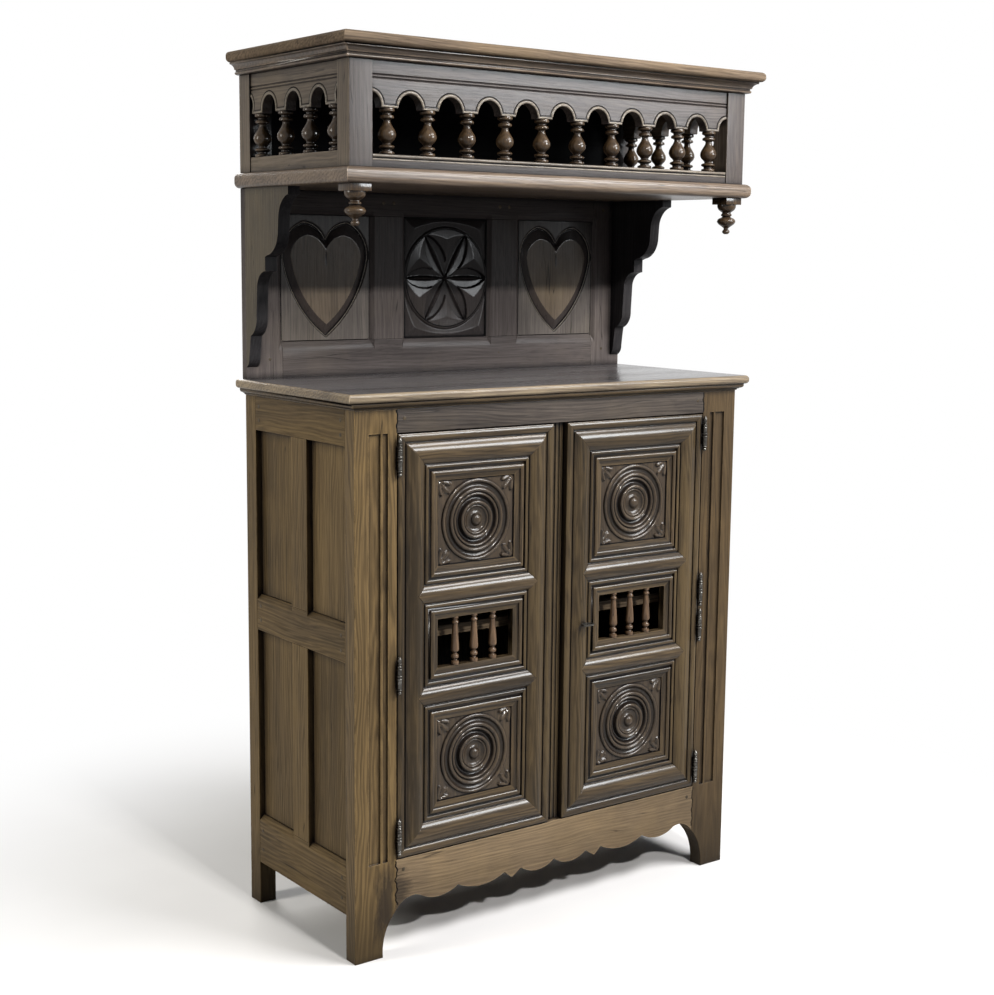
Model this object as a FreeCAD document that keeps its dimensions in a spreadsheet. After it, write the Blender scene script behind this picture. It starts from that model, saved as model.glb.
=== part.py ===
import FreeCAD, Part
import os
import re
import Sketcher

# Galleried country buffet in oak: cupboard with two doors, worktop, open hutch and canopy.
# Millimetres, +Z up, front towards -Y, origin on the floor under the middle of the piece.

SIZES = {
    # cupboard carcass
    "base_width": 1058,
    "base_depth": 455,
    "worktop_overhang": 24,
    "worktop_front": 21,
    "slab_thickness": 20,
    "slab_nose": 8,
    "bed_mould_height": 15,
    "bed_mould_reach": 14,
    "post_width": 102,
    "post_thickness": 37,
    "back_post_width": 40,
    "back_post_depth": 44,
    "foot_width": 69,
    "foot_rise": 98,
    "flute_depth": 5,
    "flute_start": 34,
    "flute_width": 28,
    "flute_gap": 6,
    "flute_second": 12,
    "head_rail_height": 50,
    "sill_top": 209,
    "apron_bottom": 103,
    "apron_notch": 16,
    "stile_width": 34,
    "stile_back_width": 64,
    "stile_set_back": 13,
    "reed_width": 5,
    "reed_depth": 3,
    # side frames of the cupboard
    "side_thickness": 30,
    "side_top_rail": 75,
    "side_mid_rail": 80,
    "side_mid_bottom": 642,
    "side_low_rail": 111,
    "side_low_bottom": 99,
    "muntin_width": 66,
    "side_recess": 14,
    "side_panel": 12,
    "side_bevel": 11,
    # inside of the cupboard
    "floor_thickness": 18,
    "floor_drop": 13,
    "cleat_width": 24,
    "cleat_height": 26,
    "shelf_top": 684,
    "shelf_thickness": 22,
    "shelf_set_back": 24,
    "board_gap": 1.5,
    "back_board": 12,
    "back_inset": 8,
    "back_rail": 70,
    # doors
    "door_gap": 2.5,
    "door_thickness": 25,
    "cushion_proud": 8,
    "frame_width": 76,
    "frame_band": 17,
    "frame_groove": 3,
    "frame_bead": 8,
    "mid_rail": 60,
    "panel_height": 235,
    "window_height": 159,
    "mould_width": 27,
    "mould_quirk": 6,
    "mould_sink": 5,
    "mould_bead": 9,
    "mould_proud": 2,
    "mould_step": 3,
    "mould_lip": 2.5,
    "window_mould_back": 4,
    "panel_recess": 7,
    "panel_thickness": 14,
    "roundel_margin": 2,
    "roundel_relief": 7,
    "door_spindle_radius": 9.5,
    # hinges, lock, key and slide bolt
    "hinge_height": 84,
    "hinge_joint": 34,
    "hinge_low_barrel": 23,
    "hinge_top_barrel": 27,
    "hinge_radius": 6.5,
    "hinge_stand_off": 8.5,
    "hinge_leaf": 2,
    "hinge_leaf_depth": 18,
    "hinge_pin_radius": 3,
    "hinge_pin_length": 18,
    "running_play": 0.05,
    "hinge_top_gap": 2,
    "hinge_low_gap": 13,
    "hinge_middle_drop": 90,
    "hinge_stack_gap": 2,
    "key_drop": 4,
    "key_back_set": 51,
    "key_shank": 3,
    "key_reach": 20,
    "key_bow_width": 32,
    "key_bow_depth": 18,
    "key_bow_rim": 4,
    "key_bow_thickness": 4,
    "key_bit_width": 2.4,
    "key_bit_length": 9,
    "key_bit_depth": 3,
    "key_overrun": 2,
    "lock_width": 70,
    "lock_height": 84,
    "lock_depth": 14,
    "lock_wall": 2,
    "lock_offset": 16,
    "bolt_height": 16,
    "bolt_thickness": 6,
    "bolt_set_back": 4,
    "bolt_length": 52,
    "bolt_throw": 12,
    "bolt_gate": 26,
    "bolt_foot": 3,
    "slip": 0.5,
    "slide_width": 10,
    "slide_thickness": 5,
    "slide_length": 90,
    "slide_throw": 12,
    "slide_plate": 2,
    "slide_plate_height": 70,
    "slide_plate_width": 28,
    "slide_plate_drop": 12,
    "slide_knob": 8,
    "slide_guide_width": 18,
    "slide_guide_height": 6,
    "slide_guide_pitch": 28,
    "slide_guide_wall": 3,
    # hutch over the worktop
    "niche_height": 412,
    "hutch_frame": 20,
    "hutch_housing": 4,
    "hutch_low_rail": 80,
    "hutch_top_rail": 52,
    "hutch_end_stile": 90,
    "hutch_stile": 96.5,
    "rosette_width": 237,
    "hutch_recess": 8,
    "hutch_splay": 10,
    "hutch_sill_splay": 20,
    "hutch_panel": 10,
    "rosette_margin": 3,
    "rosette_rim": 4,
    "rosette_rim_depth": 2.5,
    "petal_depth": 5,
    "heart_depth": 4,
    "console_thickness": 28,
    "console_reach": 188,
    "console_height": 386,
    # canopy
    "canopy_floor": 32,
    "canopy_overhang": 14,
    "canopy_front": 15,
    "canopy_nose": 12,
    "gallery_overhang": 7,
    "gallery_set_in": 5,
    "gallery_height": 206,
    "gallery_post_width": 54,
    "gallery_post_depth": 45,
    "gallery_set_back": 4,
    "arcade_thickness": 24,
    "arcade_height": 90,
    "arch_width": 57,
    "arch_rise": 30,
    "side_arch_rise": 37,
    "side_sill_lift": 6,
    "frieze_band": 26,
    "frieze_line": 2.5,
    "frieze_line_gap": 4,
    "frieze_line_depth": 2,
    "gallery_sill": 26,
    "front_end_gap": 43,
    "side_end_gap": 28,
    "spindle_radius": 18,
    "gallery_back": 14,
    "cornice_height": 26,
    "cornice_reach": 22,
    "top_thickness": 22,
    "top_overhang": 9,
    "top_front": 13,
    "top_nose": 9,
    "finial_block": 48,
    "finial_block_height": 15,
    "finial_length": 68,
    "finial_radius": 20,
}

FRONT_SPINDLES = 10
SIDE_SPINDLES = 4
DOOR_SPINDLES = 3
FLOOR_BOARDS = 3
BACK_BOARDS = 5
PETALS = 6
FLATS = 8
# Sagitta over half the chord of an arc that is nearly half a circle.
ROUND_BULGE = 0.96

doc = FreeCAD.newDocument("sideboard")
sheet = doc.addObject("Spreadsheet::Sheet", "Sizes")
for row, (alias, size) in enumerate(SIZES.items(), start=1):
    sheet.set(f"A{row}", alias)
    sheet.set(f"B{row}", str(size))
    sheet.setAlias(f"B{row}", alias)
doc.recompute()

SIZE_WORD = re.compile(r"\b(" + "|".join(SIZES) + r")\b")
MIRROR_NORMAL = FreeCAD.Vector(1, 0, 0)
SPIN = FreeCAD.Vector(0, 1, 0)
BACKWARDS = (FreeCAD.Vector(1, 0, 0), -90)
OVERCUT = "10"

# Places worked out from the driving sizes.
HALF_BASE = "(base_width / 2)"
HALF_GALLERY = "(base_width / 2 + gallery_overhang)"
GALLERY_DEPTH = "(base_depth - gallery_set_in)"
BACK = f"(({GALLERY_DEPTH} + cornice_reach + top_front) / 2)"
BASE_FRONT = f"({BACK} - base_depth)"
GALLERY_FRONT = f"({BACK} - {GALLERY_DEPTH})"
OPENING = "(base_width / 2 - post_width)"
POST_BACK = f"({BASE_FRONT} + post_thickness)"
BACK_POST_FRONT = f"({BACK} - back_post_depth)"
SIDE_INNER = "(base_width / 2 - side_thickness)"
BOARDS_FRONT = f"({BACK} - back_inset - back_board)"
FLOOR_TOP = "(sill_top - floor_drop)"
DOOR_LEFT = "(door_gap - base_width / 2 + post_width)"
DOOR_WIDTH = "(base_width / 2 - post_width - stile_width / 2 - 2 * door_gap)"
DOOR_BOTTOM = "(sill_top + door_gap)"
DOOR_HEIGHT = "(2 * frame_width + 2 * mid_rail + 2 * panel_height + window_height)"
DOOR_HEAD = f"({DOOR_BOTTOM} + {DOOR_HEIGHT} + door_gap)"
DOOR_FACE = f"({BASE_FRONT} - cushion_proud)"
DOOR_BACK = f"({BASE_FRONT} + door_thickness)"
DOOR_DEPTH = "(cushion_proud + door_thickness)"
DOOR_OPENING = f"({DOOR_WIDTH} - 2 * frame_width)"
CARCASS_TOP = f"({DOOR_HEAD} + head_rail_height)"
WORKTOP = f"({CARCASS_TOP} + bed_mould_height + slab_thickness)"
HINGE_X = "(door_gap / 2 - base_width / 2 + post_width)"
HINGE_Y = f"({BASE_FRONT} - hinge_stand_off)"
HUTCH_FACE = f"({BACK} - hutch_frame)"
CANOPY_BOTTOM = f"({WORKTOP} + niche_height)"
GALLERY_FLOOR = f"({CANOPY_BOTTOM} + canopy_floor)"
SPINDLE_FOOT = f"({GALLERY_FLOOR} + gallery_sill)"
FRIEZE_TOP = f"({GALLERY_FLOOR} + gallery_height)"
ARCADE_BOTTOM = f"({FRIEZE_TOP} - arcade_height)"
SPINDLE_HEIGHT = "(gallery_height - arcade_height - gallery_sill)"
GALLERY_OPENING = f"({HALF_GALLERY} - gallery_post_width)"
DOOR_MIDDLE = f"((sill_top + {DOOR_HEAD}) / 2)"
KEY_X = "(stile_width / 2 + door_gap + key_back_set)"
KEY_Z = f"({DOOR_MIDDLE} - key_drop)"
BOLT_Y = f"({DOOR_BACK} + bolt_set_back)"
SLIDE_X = "(-stile_width / 2 - door_gap - frame_width / 2)"
SLIDE_Y = f"({DOOR_BACK} + slide_plate + running_play)"
ROUNDEL = f"(min({DOOR_OPENING}; panel_height) / 2 - mould_width - roundel_margin)"
DOOR_SPINDLE_PITCH = f"(({DOOR_OPENING} - 2 * mould_width) / {DOOR_SPINDLES + 1})"
FRONT_PITCH = f"((2 * {GALLERY_OPENING} - 2 * front_end_gap) / {FRONT_SPINDLES - 1})"
SIDE_PITCH = f"(({GALLERY_DEPTH} - 2 * gallery_post_depth - 2 * side_end_gap) / {SIDE_SPINDLES - 1})"


def bind(text):
    """Formula with every size word pointing at its cell of the sheet."""
    return SIZE_WORD.sub(r"Sizes.\1", str(text))


def number(text):
    """Present value of a formula."""
    result = sheet.evalExpression(str(text))
    return float(getattr(result, "Value", result))


def place(item, x="0", y="0", z="0", turn=None):
    """Set an object's position by formulas, after an optional turn (axis, degrees)."""
    if turn is not None:
        item.Placement = FreeCAD.Placement(FreeCAD.Vector(0, 0, 0), FreeCAD.Rotation(*turn))
    for axis, formula in zip("xyz", (x, y, z)):
        item.setExpression(f"Placement.Base.{axis}", bind(formula))
    return item


def board(label, x, y, z):
    """Plain board between pairs of coordinates."""
    box = doc.addObject("Part::Box", label)
    for size, (low, high) in zip(("Length", "Width", "Height"), (x, y, z)):
        box.setExpression(size, bind(f"({high}) - ({low})"))
    return place(box, x[0], y[0], z[0])


def cylinder(label, radius, height, x, y, z, turn=None):
    """Round rod standing on its position, along the turned Z axis."""
    rod = doc.addObject("Part::Cylinder", label)
    rod.setExpression("Radius", bind(radius))
    rod.setExpression("Height", bind(height))
    return place(rod, x, y, z, turn)


def barrel(label, radius, height, z):
    """Upright barrel with flats, about the Z axis."""
    prism = doc.addObject("Part::Prism", label)
    prism.Polygon = FLATS
    prism.setExpression("Circumradius", bind(radius))
    prism.setExpression("Height", bind(height))
    return place(prism, z=z)


def group(label, items):
    """Several separate pieces kept as one sub-part."""
    compound = doc.addObject("Part::Compound", label)
    compound.Links = items
    return compound


def cut(label, base, tools):
    """Base with the tools taken out of it."""
    result = doc.addObject("Part::Cut", label)
    result.Base = base
    result.Tool = tools[0] if len(tools) == 1 else group(f"{label}_tools", tools)
    return result


def fuse(label, items):
    """One solid made of overlapping or touching primitives."""
    result = doc.addObject("Part::MultiFuse", label)
    result.Shapes = items
    return result


def common(label, first, second):
    """What two pieces share."""
    result = doc.addObject("Part::Common", label)
    result.Base = first
    result.Tool = second
    return result


def mirrored(label, source):
    """Right-hand twin of a left-hand piece."""
    twin = doc.addObject("Part::Mirroring", label)
    twin.Source = source
    twin.Normal = MIRROR_NORMAL
    return twin


def copies(label, source, spots):
    """Group of copies of one piece at formula positions."""
    links = []
    for index, spot in enumerate(spots):
        link = doc.addObject("App::Link", f"{label}_{index + 1}")
        link.LinkedObject = source
        links.append(place(link, *spot))
    return group(label, links)


def new_body(label):
    return doc.addObject("PartDesign::Body", label)


def origin_plane(body, role):
    return next(item for item in body.Origin.OriginFeatures if item.Role == role)


def outline(body, role, loops):
    """Sketch of closed loops; a vertex is (x, y) or (x, y, bulge of the arc to the next vertex)."""
    sketch = body.newObject("Sketcher::SketchObject", f"{body.Name}_outline")
    sketch.AttachmentSupport = [(origin_plane(body, role), "")]
    sketch.MapMode = "FlatFace"
    formulas = []
    for loop in loops:
        spots = [FreeCAD.Vector(number(vertex[0]), number(vertex[1]), 0) for vertex in loop]
        starts = []
        ends = []
        for index, vertex in enumerate(loop):
            here = spots[index]
            there = spots[(index + 1) % len(loop)]
            if len(vertex) == 2:
                edge = sketch.addGeometry(Part.LineSegment(here, there), False)
                forward = True
            else:
                chord = there - here
                right_hand = FreeCAD.Vector(chord.y, -chord.x, 0)
                crown = (here + there) * 0.5 + right_hand * (vertex[2] / 2)
                edge = sketch.addGeometry(Part.Arc(here, crown, there), False)
                forward = vertex[2] > 0
            starts.append((edge, 1 if forward else 2))
            ends.append((edge, 2 if forward else 1))
        for index, vertex in enumerate(loop):
            sketch.addConstraint(Sketcher.Constraint("Coincident", *ends[index - 1], *starts[index]))
            for kind, formula in (("DistanceX", vertex[0]), ("DistanceY", vertex[1])):
                rule = Sketcher.Constraint(kind, *starts[index], number(formula))
                formulas.append((sketch.addConstraint(rule), formula))
            if len(vertex) == 3:
                there = loop[(index + 1) % len(loop)]
                factor = (1 + vertex[2] ** 2) / (4 * abs(vertex[2]))
                run = f"(({there[0]}) - ({vertex[0]}))"
                rise = f"(({there[1]}) - ({vertex[1]}))"
                formula = f"{factor:.9f} * sqrt({run} * {run} + {rise} * {rise})"
                rule = Sketcher.Constraint("Radius", starts[index][0], number(formula))
                formulas.append((sketch.addConstraint(rule), formula))
    for index, formula in formulas:
        sketch.setExpression(f"Constraints[{index}]", bind(formula))
    return sketch


def circle_outline(body, role, *radii):
    """Sketch of circles about the body's own middle."""
    sketch = body.newObject("Sketcher::SketchObject", f"{body.Name}_circle")
    sketch.AttachmentSupport = [(origin_plane(body, role), "")]
    sketch.MapMode = "FlatFace"
    for radius in radii:
        round_edge = Part.Circle(FreeCAD.Vector(0, 0, 0), FreeCAD.Vector(0, 0, 1), number(radius))
        edge = sketch.addGeometry(round_edge, False)
        sketch.addConstraint(Sketcher.Constraint("Coincident", edge, 3, -1, 1))
        index = sketch.addConstraint(Sketcher.Constraint("Radius", edge, number(radius)))
        sketch.setExpression(f"Constraints[{index}]", bind(radius))
    return sketch


def pad(body, sketch, length, reverse=False):
    feature = body.newObject("PartDesign::Pad", f"{body.Name}_pad")
    feature.Profile = sketch
    feature.Reversed = reverse
    feature.setExpression("Length", bind(length))
    return feature


def pocket(body, sketch, depth=None):
    """Cut into the body, to a depth or right through."""
    feature = body.newObject("PartDesign::Pocket", f"{body.Name}_pocket")
    feature.Profile = sketch
    if depth is None:
        feature.Type = "ThroughAll"
    else:
        feature.setExpression("Length", bind(depth))
    return feature


def revolve(body, sketch, axis):
    feature = body.newObject("PartDesign::Revolution", f"{body.Name}_turning")
    feature.Profile = sketch
    feature.ReferenceAxis = (sketch, [axis])
    feature.Angle = 360
    return feature


def upright_plate(label, loops, thickness, y):
    """Plate with an outline seen from the front, from y backwards."""
    body = new_body(label)
    pad(body, outline(body, "XZ_Plane", loops), thickness, reverse=True)
    return place(body, y=y)


def eight_sided(label, profile):
    """Slender turned piece about its own Z axis, with eight flats.

    The profile is (radius, height) vertices from foot to head. One silhouette is common to four turns of it.
    """
    body = new_body(f"{label}_silhouette")
    loop = profile + [(f"-({radius})", height) for radius, height in reversed(profile)]
    across = max((radius for radius, height in profile), key=number)
    pad(body, outline(body, "XZ_Plane", [loop]), f"2 * ({across})").SideType = "Symmetric"
    piece = body
    turns = FLATS // 2
    for index in range(1, turns):
        link = doc.addObject("App::Link", f"{label}_turn_{index}")
        link.LinkedObject = body
        place(link, turn=(FreeCAD.Vector(0, 0, 1), 180 / turns * index))
        piece = common(f"{label}_flats_{2 * index + 2}", piece, link)
    return piece


def rectangle(x, z):
    """Closed loop between pairs of coordinates."""
    return [(x[0], z[0]), (x[1], z[0]), (x[1], z[1]), (x[0], z[1])]


def stick(label, profile, width, length, ends=("mitre", "mitre"), notches=()):
    """Moulded length along Z: profile in X and Y, outer edge at X = 0, all of it at Y >= 0."""
    body = new_body(label)
    pad(body, outline(body, "XY_Plane", [profile]), length)
    loops = []
    wide = f"({width}) + {OVERCUT}"
    low = f"-{OVERCUT}"
    if ends[0] == "mitre":
        loops.append([(low, low), (wide, low), (wide, wide)])
    if ends[1] == "mitre":
        top = f"({length}) + {OVERCUT}"
        loops.append([(low, top), (wide, f"({length}) - ({wide})"), (wide, top)])
    for start, size in notches:
        tip = (f"({width}) - ({size}) / 2", f"({start}) + ({size}) / 2")
        loops.append([(wide, f"({start}) - {OVERCUT}"), (wide, f"({start}) + ({size}) + {OVERCUT}"), tip])
    pocket(body, outline(body, "XZ_Plane", loops))
    return body


def pointed_stick(label, profile, width, length):
    """Moulded length along Z with both ends pointed to fit the notches of its neighbours."""
    body = new_body(label)
    pad(body, outline(body, "XY_Plane", [profile]), length)
    low = f"-{OVERCUT}"
    wide = f"({width}) + {OVERCUT}"
    half = f"({width}) / 2"
    top = f"({length}) + {OVERCUT}"
    shoulder = f"({width}) / 2 + {OVERCUT}"
    foot = [(low, low), (wide, low), (wide, shoulder), (half, "0"), (low, shoulder)]
    head_shoulder = f"({length}) - ({shoulder})"
    head = [(low, top), (low, head_shoulder), (half, length), (wide, head_shoulder), (wide, top)]
    pocket(body, outline(body, "XZ_Plane", [foot, head]))
    return body


def nosed_board(label, width, depth, thickness, z, nose):
    """Board flush with the back plane, its front and end edges rounded."""
    body = new_body(label)
    half = f"({width}) / 2"
    front = f"{BACK} - ({depth})"
    base = pad(body, outline(body, "XY_Plane", [rectangle((f"-{half}", half), (front, BACK))]), thickness)
    doc.recompute()
    names = []
    for index, edge in enumerate(base.Shape.Edges, start=1):
        box = edge.BoundBox
        on_back = abs(box.YMin - number(BACK)) < 0.01
        if box.ZLength < 0.01 and not on_back:
            names.append(f"Edge{index}")
    fillet = body.newObject("PartDesign::Fillet", f"{label}_nose")
    fillet.Base = (base, names)
    fillet.setExpression("Radius", bind(nose))
    return place(body, z=z)


def front_posts():
    """Front posts with shaped feet and two stopped flutes each."""
    left = f"-{HALF_BASE}"
    body = new_body("front_post_left")
    foot = f"foot_width - {HALF_BASE}"
    loop = [(left, "0"), (foot, "0", -0.22), (f"-{OPENING}", "foot_rise"), (f"-{OPENING}", CARCASS_TOP)]
    loop.append((left, CARCASS_TOP))
    pad(body, outline(body, "XZ_Plane", [loop]), "post_thickness", reverse=True)
    first = f"flute_start - {HALF_BASE}"
    second = f"flute_start + flute_width + flute_gap - {HALF_BASE}"
    span = ("sill_top", DOOR_HEAD)
    flutes = [rectangle((first, f"{first} + flute_width"), span)]
    flutes.append(rectangle((second, f"{second} + flute_second"), span))
    pocket(body, outline(body, "XZ_Plane", flutes), "flute_depth")
    place(body, y=BASE_FRONT)
    return [body, mirrored("front_post_right", body)]


def back_posts():
    left = board("back_post_left", (f"-{HALF_BASE}", f"back_post_width - {HALF_BASE}"),
                 (BACK_POST_FRONT, BACK), ("0", CARCASS_TOP))
    return [left, mirrored("back_post_right", left)]


def front_rails():
    """Head rail over the doors, and the apron with its scalloped lower edge."""
    head = board("head_rail_blank", (f"-{OPENING}", OPENING), (BASE_FRONT, POST_BACK),
                 (DOOR_HEAD, CARCASS_TOP))
    half_slot = "(slide_width / 2 + slip)"
    hole = board("slide_keeper", (f"{SLIDE_X} - {half_slot}", f"{SLIDE_X} + {half_slot}"),
                 (f"{SLIDE_Y} - slip", f"{SLIDE_Y} + slide_thickness + slip"),
                 (DOOR_HEAD, f"{DOOR_HEAD} + slide_throw + slip"))
    head_rail = cut("front_head_rail", head, [hole])
    low = "apron_bottom"
    high = "(apron_bottom + apron_notch)"
    half = [("0", high, 0.34), (f"{OPENING} * 0.22", high), (f"{OPENING} * 0.275", low)]
    half += [(f"{OPENING} * 0.285", low), (f"{OPENING} * 0.325", high, 0.25)]
    half += [(f"{OPENING} * 0.625", high, 0.3), (f"{OPENING} * 0.86", high, -0.35), (OPENING, "foot_rise")]
    left_half = []
    for index in range(len(half) - 1, 0, -1):
        vertex = half[index]
        before = half[index - 1]
        left_half.append((f"-({vertex[0]})", vertex[1]) + tuple(before[2:]))
    loop = left_half + half + [(OPENING, "sill_top"), (f"-{OPENING}", "sill_top")]
    apron = upright_plate("front_apron", [loop], "post_thickness", BASE_FRONT)
    return [head_rail, apron]


def centre_stile():
    """Fixed stile between the doors: reeded face, wider stop behind, mortise for the lock bolt."""
    face = "stile_set_back"
    stop = "(door_thickness + door_gap)"
    half = "stile_width / 2"
    half_back = "stile_back_width / 2"
    loop = [(f"-{half}", face)]
    for side in ("-stile_width / 6", "stile_width / 6"):
        loop += [(f"{side} - reed_width / 2", face), (f"{side} - reed_width / 2", f"{face} + reed_depth")]
        loop += [(f"{side} + reed_width / 2", f"{face} + reed_depth"), (f"{side} + reed_width / 2", face)]
    loop += [(half, face), (half, stop), (half_back, stop), (half_back, f"{stop} + lock_depth")]
    loop += [(f"-{half_back}", f"{stop} + lock_depth"), (f"-{half_back}", stop), (f"-{half}", stop)]
    body = new_body("centre_stile_blank")
    pad(body, outline(body, "XY_Plane", [loop]), f"{DOOR_HEAD} - sill_top")
    place(body, y=BASE_FRONT, z="sill_top")
    mortise = board("bolt_mortise", (f"{half_back} - bolt_throw - slip", half_back),
                    (f"{BOLT_Y} - slip", f"{BOLT_Y} + bolt_thickness + slip"),
                    (f"{KEY_Z} - bolt_height / 2 - slip", f"{KEY_Z} + bolt_height / 2 + slip"))
    return [cut("centre_stile", body, [mortise])]


def side_frames():
    """Rails and muntins of each side, with bevelled upper rail edges, and the plain panels between them."""
    x = (f"-{HALF_BASE}", f"-{SIDE_INNER}")
    y = (POST_BACK, BACK_POST_FRONT)
    middle = f"(({y[0]} + {y[1]}) / 2)"
    muntin = (f"{middle} - muntin_width / 2", f"{middle} + muntin_width / 2")
    low_top = "(side_low_bottom + side_low_rail)"
    mid_top = "(side_mid_bottom + side_mid_rail)"
    top_bottom = f"({CARCASS_TOP} - side_top_rail)"
    bays = ((y[0], muntin[0]), (muntin[1], y[1]))
    rails = [board("left_top_rail", x, y, (top_bottom, CARCASS_TOP))]
    for label, bottom, top in (("mid", "side_mid_bottom", mid_top), ("low", "side_low_bottom", low_top)):
        blank = board(f"left_{label}_rail_blank", x, y, (bottom, top))
        bevels = []
        for index, bay in enumerate(bays):
            bevel = new_body(f"left_{label}_bevel_{index + 1}")
            corner = [("0", "0"), ("side_bevel", "0"), ("0", "-side_bevel")]
            pad(bevel, outline(bevel, "XZ_Plane", [corner]), f"({bay[1]}) - ({bay[0]})", reverse=True)
            bevels.append(place(bevel, x[0], bay[0], top))
        rails.append(cut(f"left_{label}_rail", blank, bevels))
    spans = ((low_top, "side_mid_bottom"), (mid_top, top_bottom))
    muntins = [board(f"left_muntin_{index + 1}", x, muntin, span) for index, span in enumerate(spans)]
    depth = (f"side_recess - {HALF_BASE}", f"side_recess + side_panel - {HALF_BASE}")
    panels = []
    for bay in bays:
        for span in spans:
            panels.append(board(f"left_panel_{len(panels) + 1}", depth, bay, span))
    rail_group = group("side_rails_left", rails)
    muntin_group = group("side_muntins_left", muntins)
    panel_group = group("side_panels_left", panels)
    return [rail_group, muntin_group, panel_group, mirrored("side_rails_right", rail_group),
            mirrored("side_muntins_right", muntin_group), mirrored("side_panels_right", panel_group)]


def inside():
    """Floor, shelf, their cleats, and the boarded back."""
    between_sides = (f"-{SIDE_INNER}", SIDE_INNER)
    between_posts = (f"back_post_width - {HALF_BASE}", f"{HALF_BASE} - back_post_width")
    floor_bottom = f"({FLOOR_TOP} - floor_thickness)"
    floor_z = (floor_bottom, FLOOR_TOP)
    shelf_bottom = "(shelf_top - shelf_thickness)"
    run = f"({BACK_POST_FRONT} - {POST_BACK})"
    floor = []
    for index in range(FLOOR_BOARDS):
        front = f"{POST_BACK} + {run} * {index} / {FLOOR_BOARDS}"
        back = f"{POST_BACK} + {run} * {index + 1} / {FLOOR_BOARDS} - board_gap"
        floor.append(board(f"floor_board_{index + 1}", between_sides, (front, back), floor_z))
    floor.append(board("floor_board_back", between_posts, (BACK_POST_FRONT, BOARDS_FRONT), floor_z))
    shelf = board("shelf", between_sides, (f"{POST_BACK} + shelf_set_back", BACK_POST_FRONT),
                  (shelf_bottom, "shelf_top"))
    cleats = []
    for name, top in (("floor", floor_bottom), ("shelf", shelf_bottom)):
        left = board(f"{name}_cleat_left", (f"-{SIDE_INNER}", f"cleat_width - {SIDE_INNER}"),
                     (POST_BACK, BACK_POST_FRONT), (f"{top} - cleat_height", top))
        cleats += [left, mirrored(f"{name}_cleat_right", left)]
    rail_depth = (f"{BACK_POST_FRONT} + board_gap", BACK)
    rails = []
    for name, bottom in (("low", f"{floor_bottom} - back_rail"), ("top", f"{CARCASS_TOP} - back_rail")):
        rail_z = (bottom, f"{bottom} + back_rail")
        rails.append(board(f"back_rail_{name}", between_posts, rail_depth, rail_z))
    boards = []
    width = f"({between_posts[1]} - ({between_posts[0]}))"
    for index in range(BACK_BOARDS):
        start = f"{between_posts[0]} + {width} * {index} / {BACK_BOARDS}"
        trim = " - board_gap" if index < BACK_BOARDS - 1 else ""
        end = f"{between_posts[0]} + {width} * {index + 1} / {BACK_BOARDS}{trim}"
        boards.append(board(f"back_board_{index + 1}", (start, end),
                            (BOARDS_FRONT, f"{BOARDS_FRONT} + back_board"),
                            (floor_bottom, f"{CARCASS_TOP} - back_rail")))
    return [group("floor_boards", floor), shelf, group("cleats", cleats), group("back_rails", rails),
            group("back_boards", boards)]


def worktop():
    """Slab with a rounded nose, housed for the hutch, and the bed moulding mitred under it."""
    slab = nosed_board("worktop_blank", "base_width + 2 * worktop_overhang", "base_depth + worktop_front",
                       "slab_thickness", f"{WORKTOP} - slab_thickness", "slab_nose")
    housing = board("hutch_seat", (f"-{HALF_GALLERY}", HALF_GALLERY), (HUTCH_FACE, BACK),
                    (f"{WORKTOP} - hutch_housing", WORKTOP))
    reach = "bed_mould_reach"
    tall = "bed_mould_height"
    section = [("0", tall), ("0", f"{tall} * 0.7", 0.35), (f"{reach} * 0.55", f"{tall} * 0.35")]
    section += [(f"{reach} * 0.55", f"{tall} * 0.25"), (f"{reach} * 0.8", f"{tall} * 0.25", 0.4)]
    section += [(f"{reach} * 0.9", "0"), (reach, "0"), (reach, tall)]
    return [cut("worktop", slab, [housing]),
            mitred_run("bed_mould", section, reach, HALF_BASE, BASE_FRONT, CARCASS_TOP)]


def mitred_run(label, section, reach, half, front, z):
    """Front and side lengths of a moulding round three sides, mitred at the front corners.

    The section is (set back from the nose, height) and becomes X and Y of each stick.
    """
    outer = f"({half} + {reach})"
    nose = f"({front} - {reach})"
    across = stick(f"{label}_front", section, reach, f"2 * {outer}")
    place(across, f"-{outer}", nose, z, (FreeCAD.Vector(1, 1, 1), 120))
    along = stick(f"{label}_left", section, reach, f"{BACK} - {nose}", ends=("square", "mitre"))
    place(along, f"-{outer}", BACK, z, (FreeCAD.Vector(1, 0, 0), 90))
    return group(label, [across, along, mirrored(f"{label}_right", along)])


def splay(label, x, z):
    """Tool that splays the edges of a hutch opening, from the panel's face out to the face of the frame."""
    wedge = doc.addObject("Part::Wedge", label)
    spans = {"Xmin": f"{x[0]} - hutch_splay", "Xmax": f"{x[1]} + hutch_splay", "X2min": x[0], "X2max": x[1]}
    spans.update({"Zmin": f"{z[0]} - hutch_sill_splay", "Zmax": f"{z[1]} + hutch_splay", "Z2min": z[0]})
    spans.update({"Z2max": z[1], "Ymin": HUTCH_FACE, "Ymax": f"{HUTCH_FACE} + hutch_recess"})
    for side, formula in spans.items():
        wedge.setExpression(side, bind(formula))
    return wedge


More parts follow.
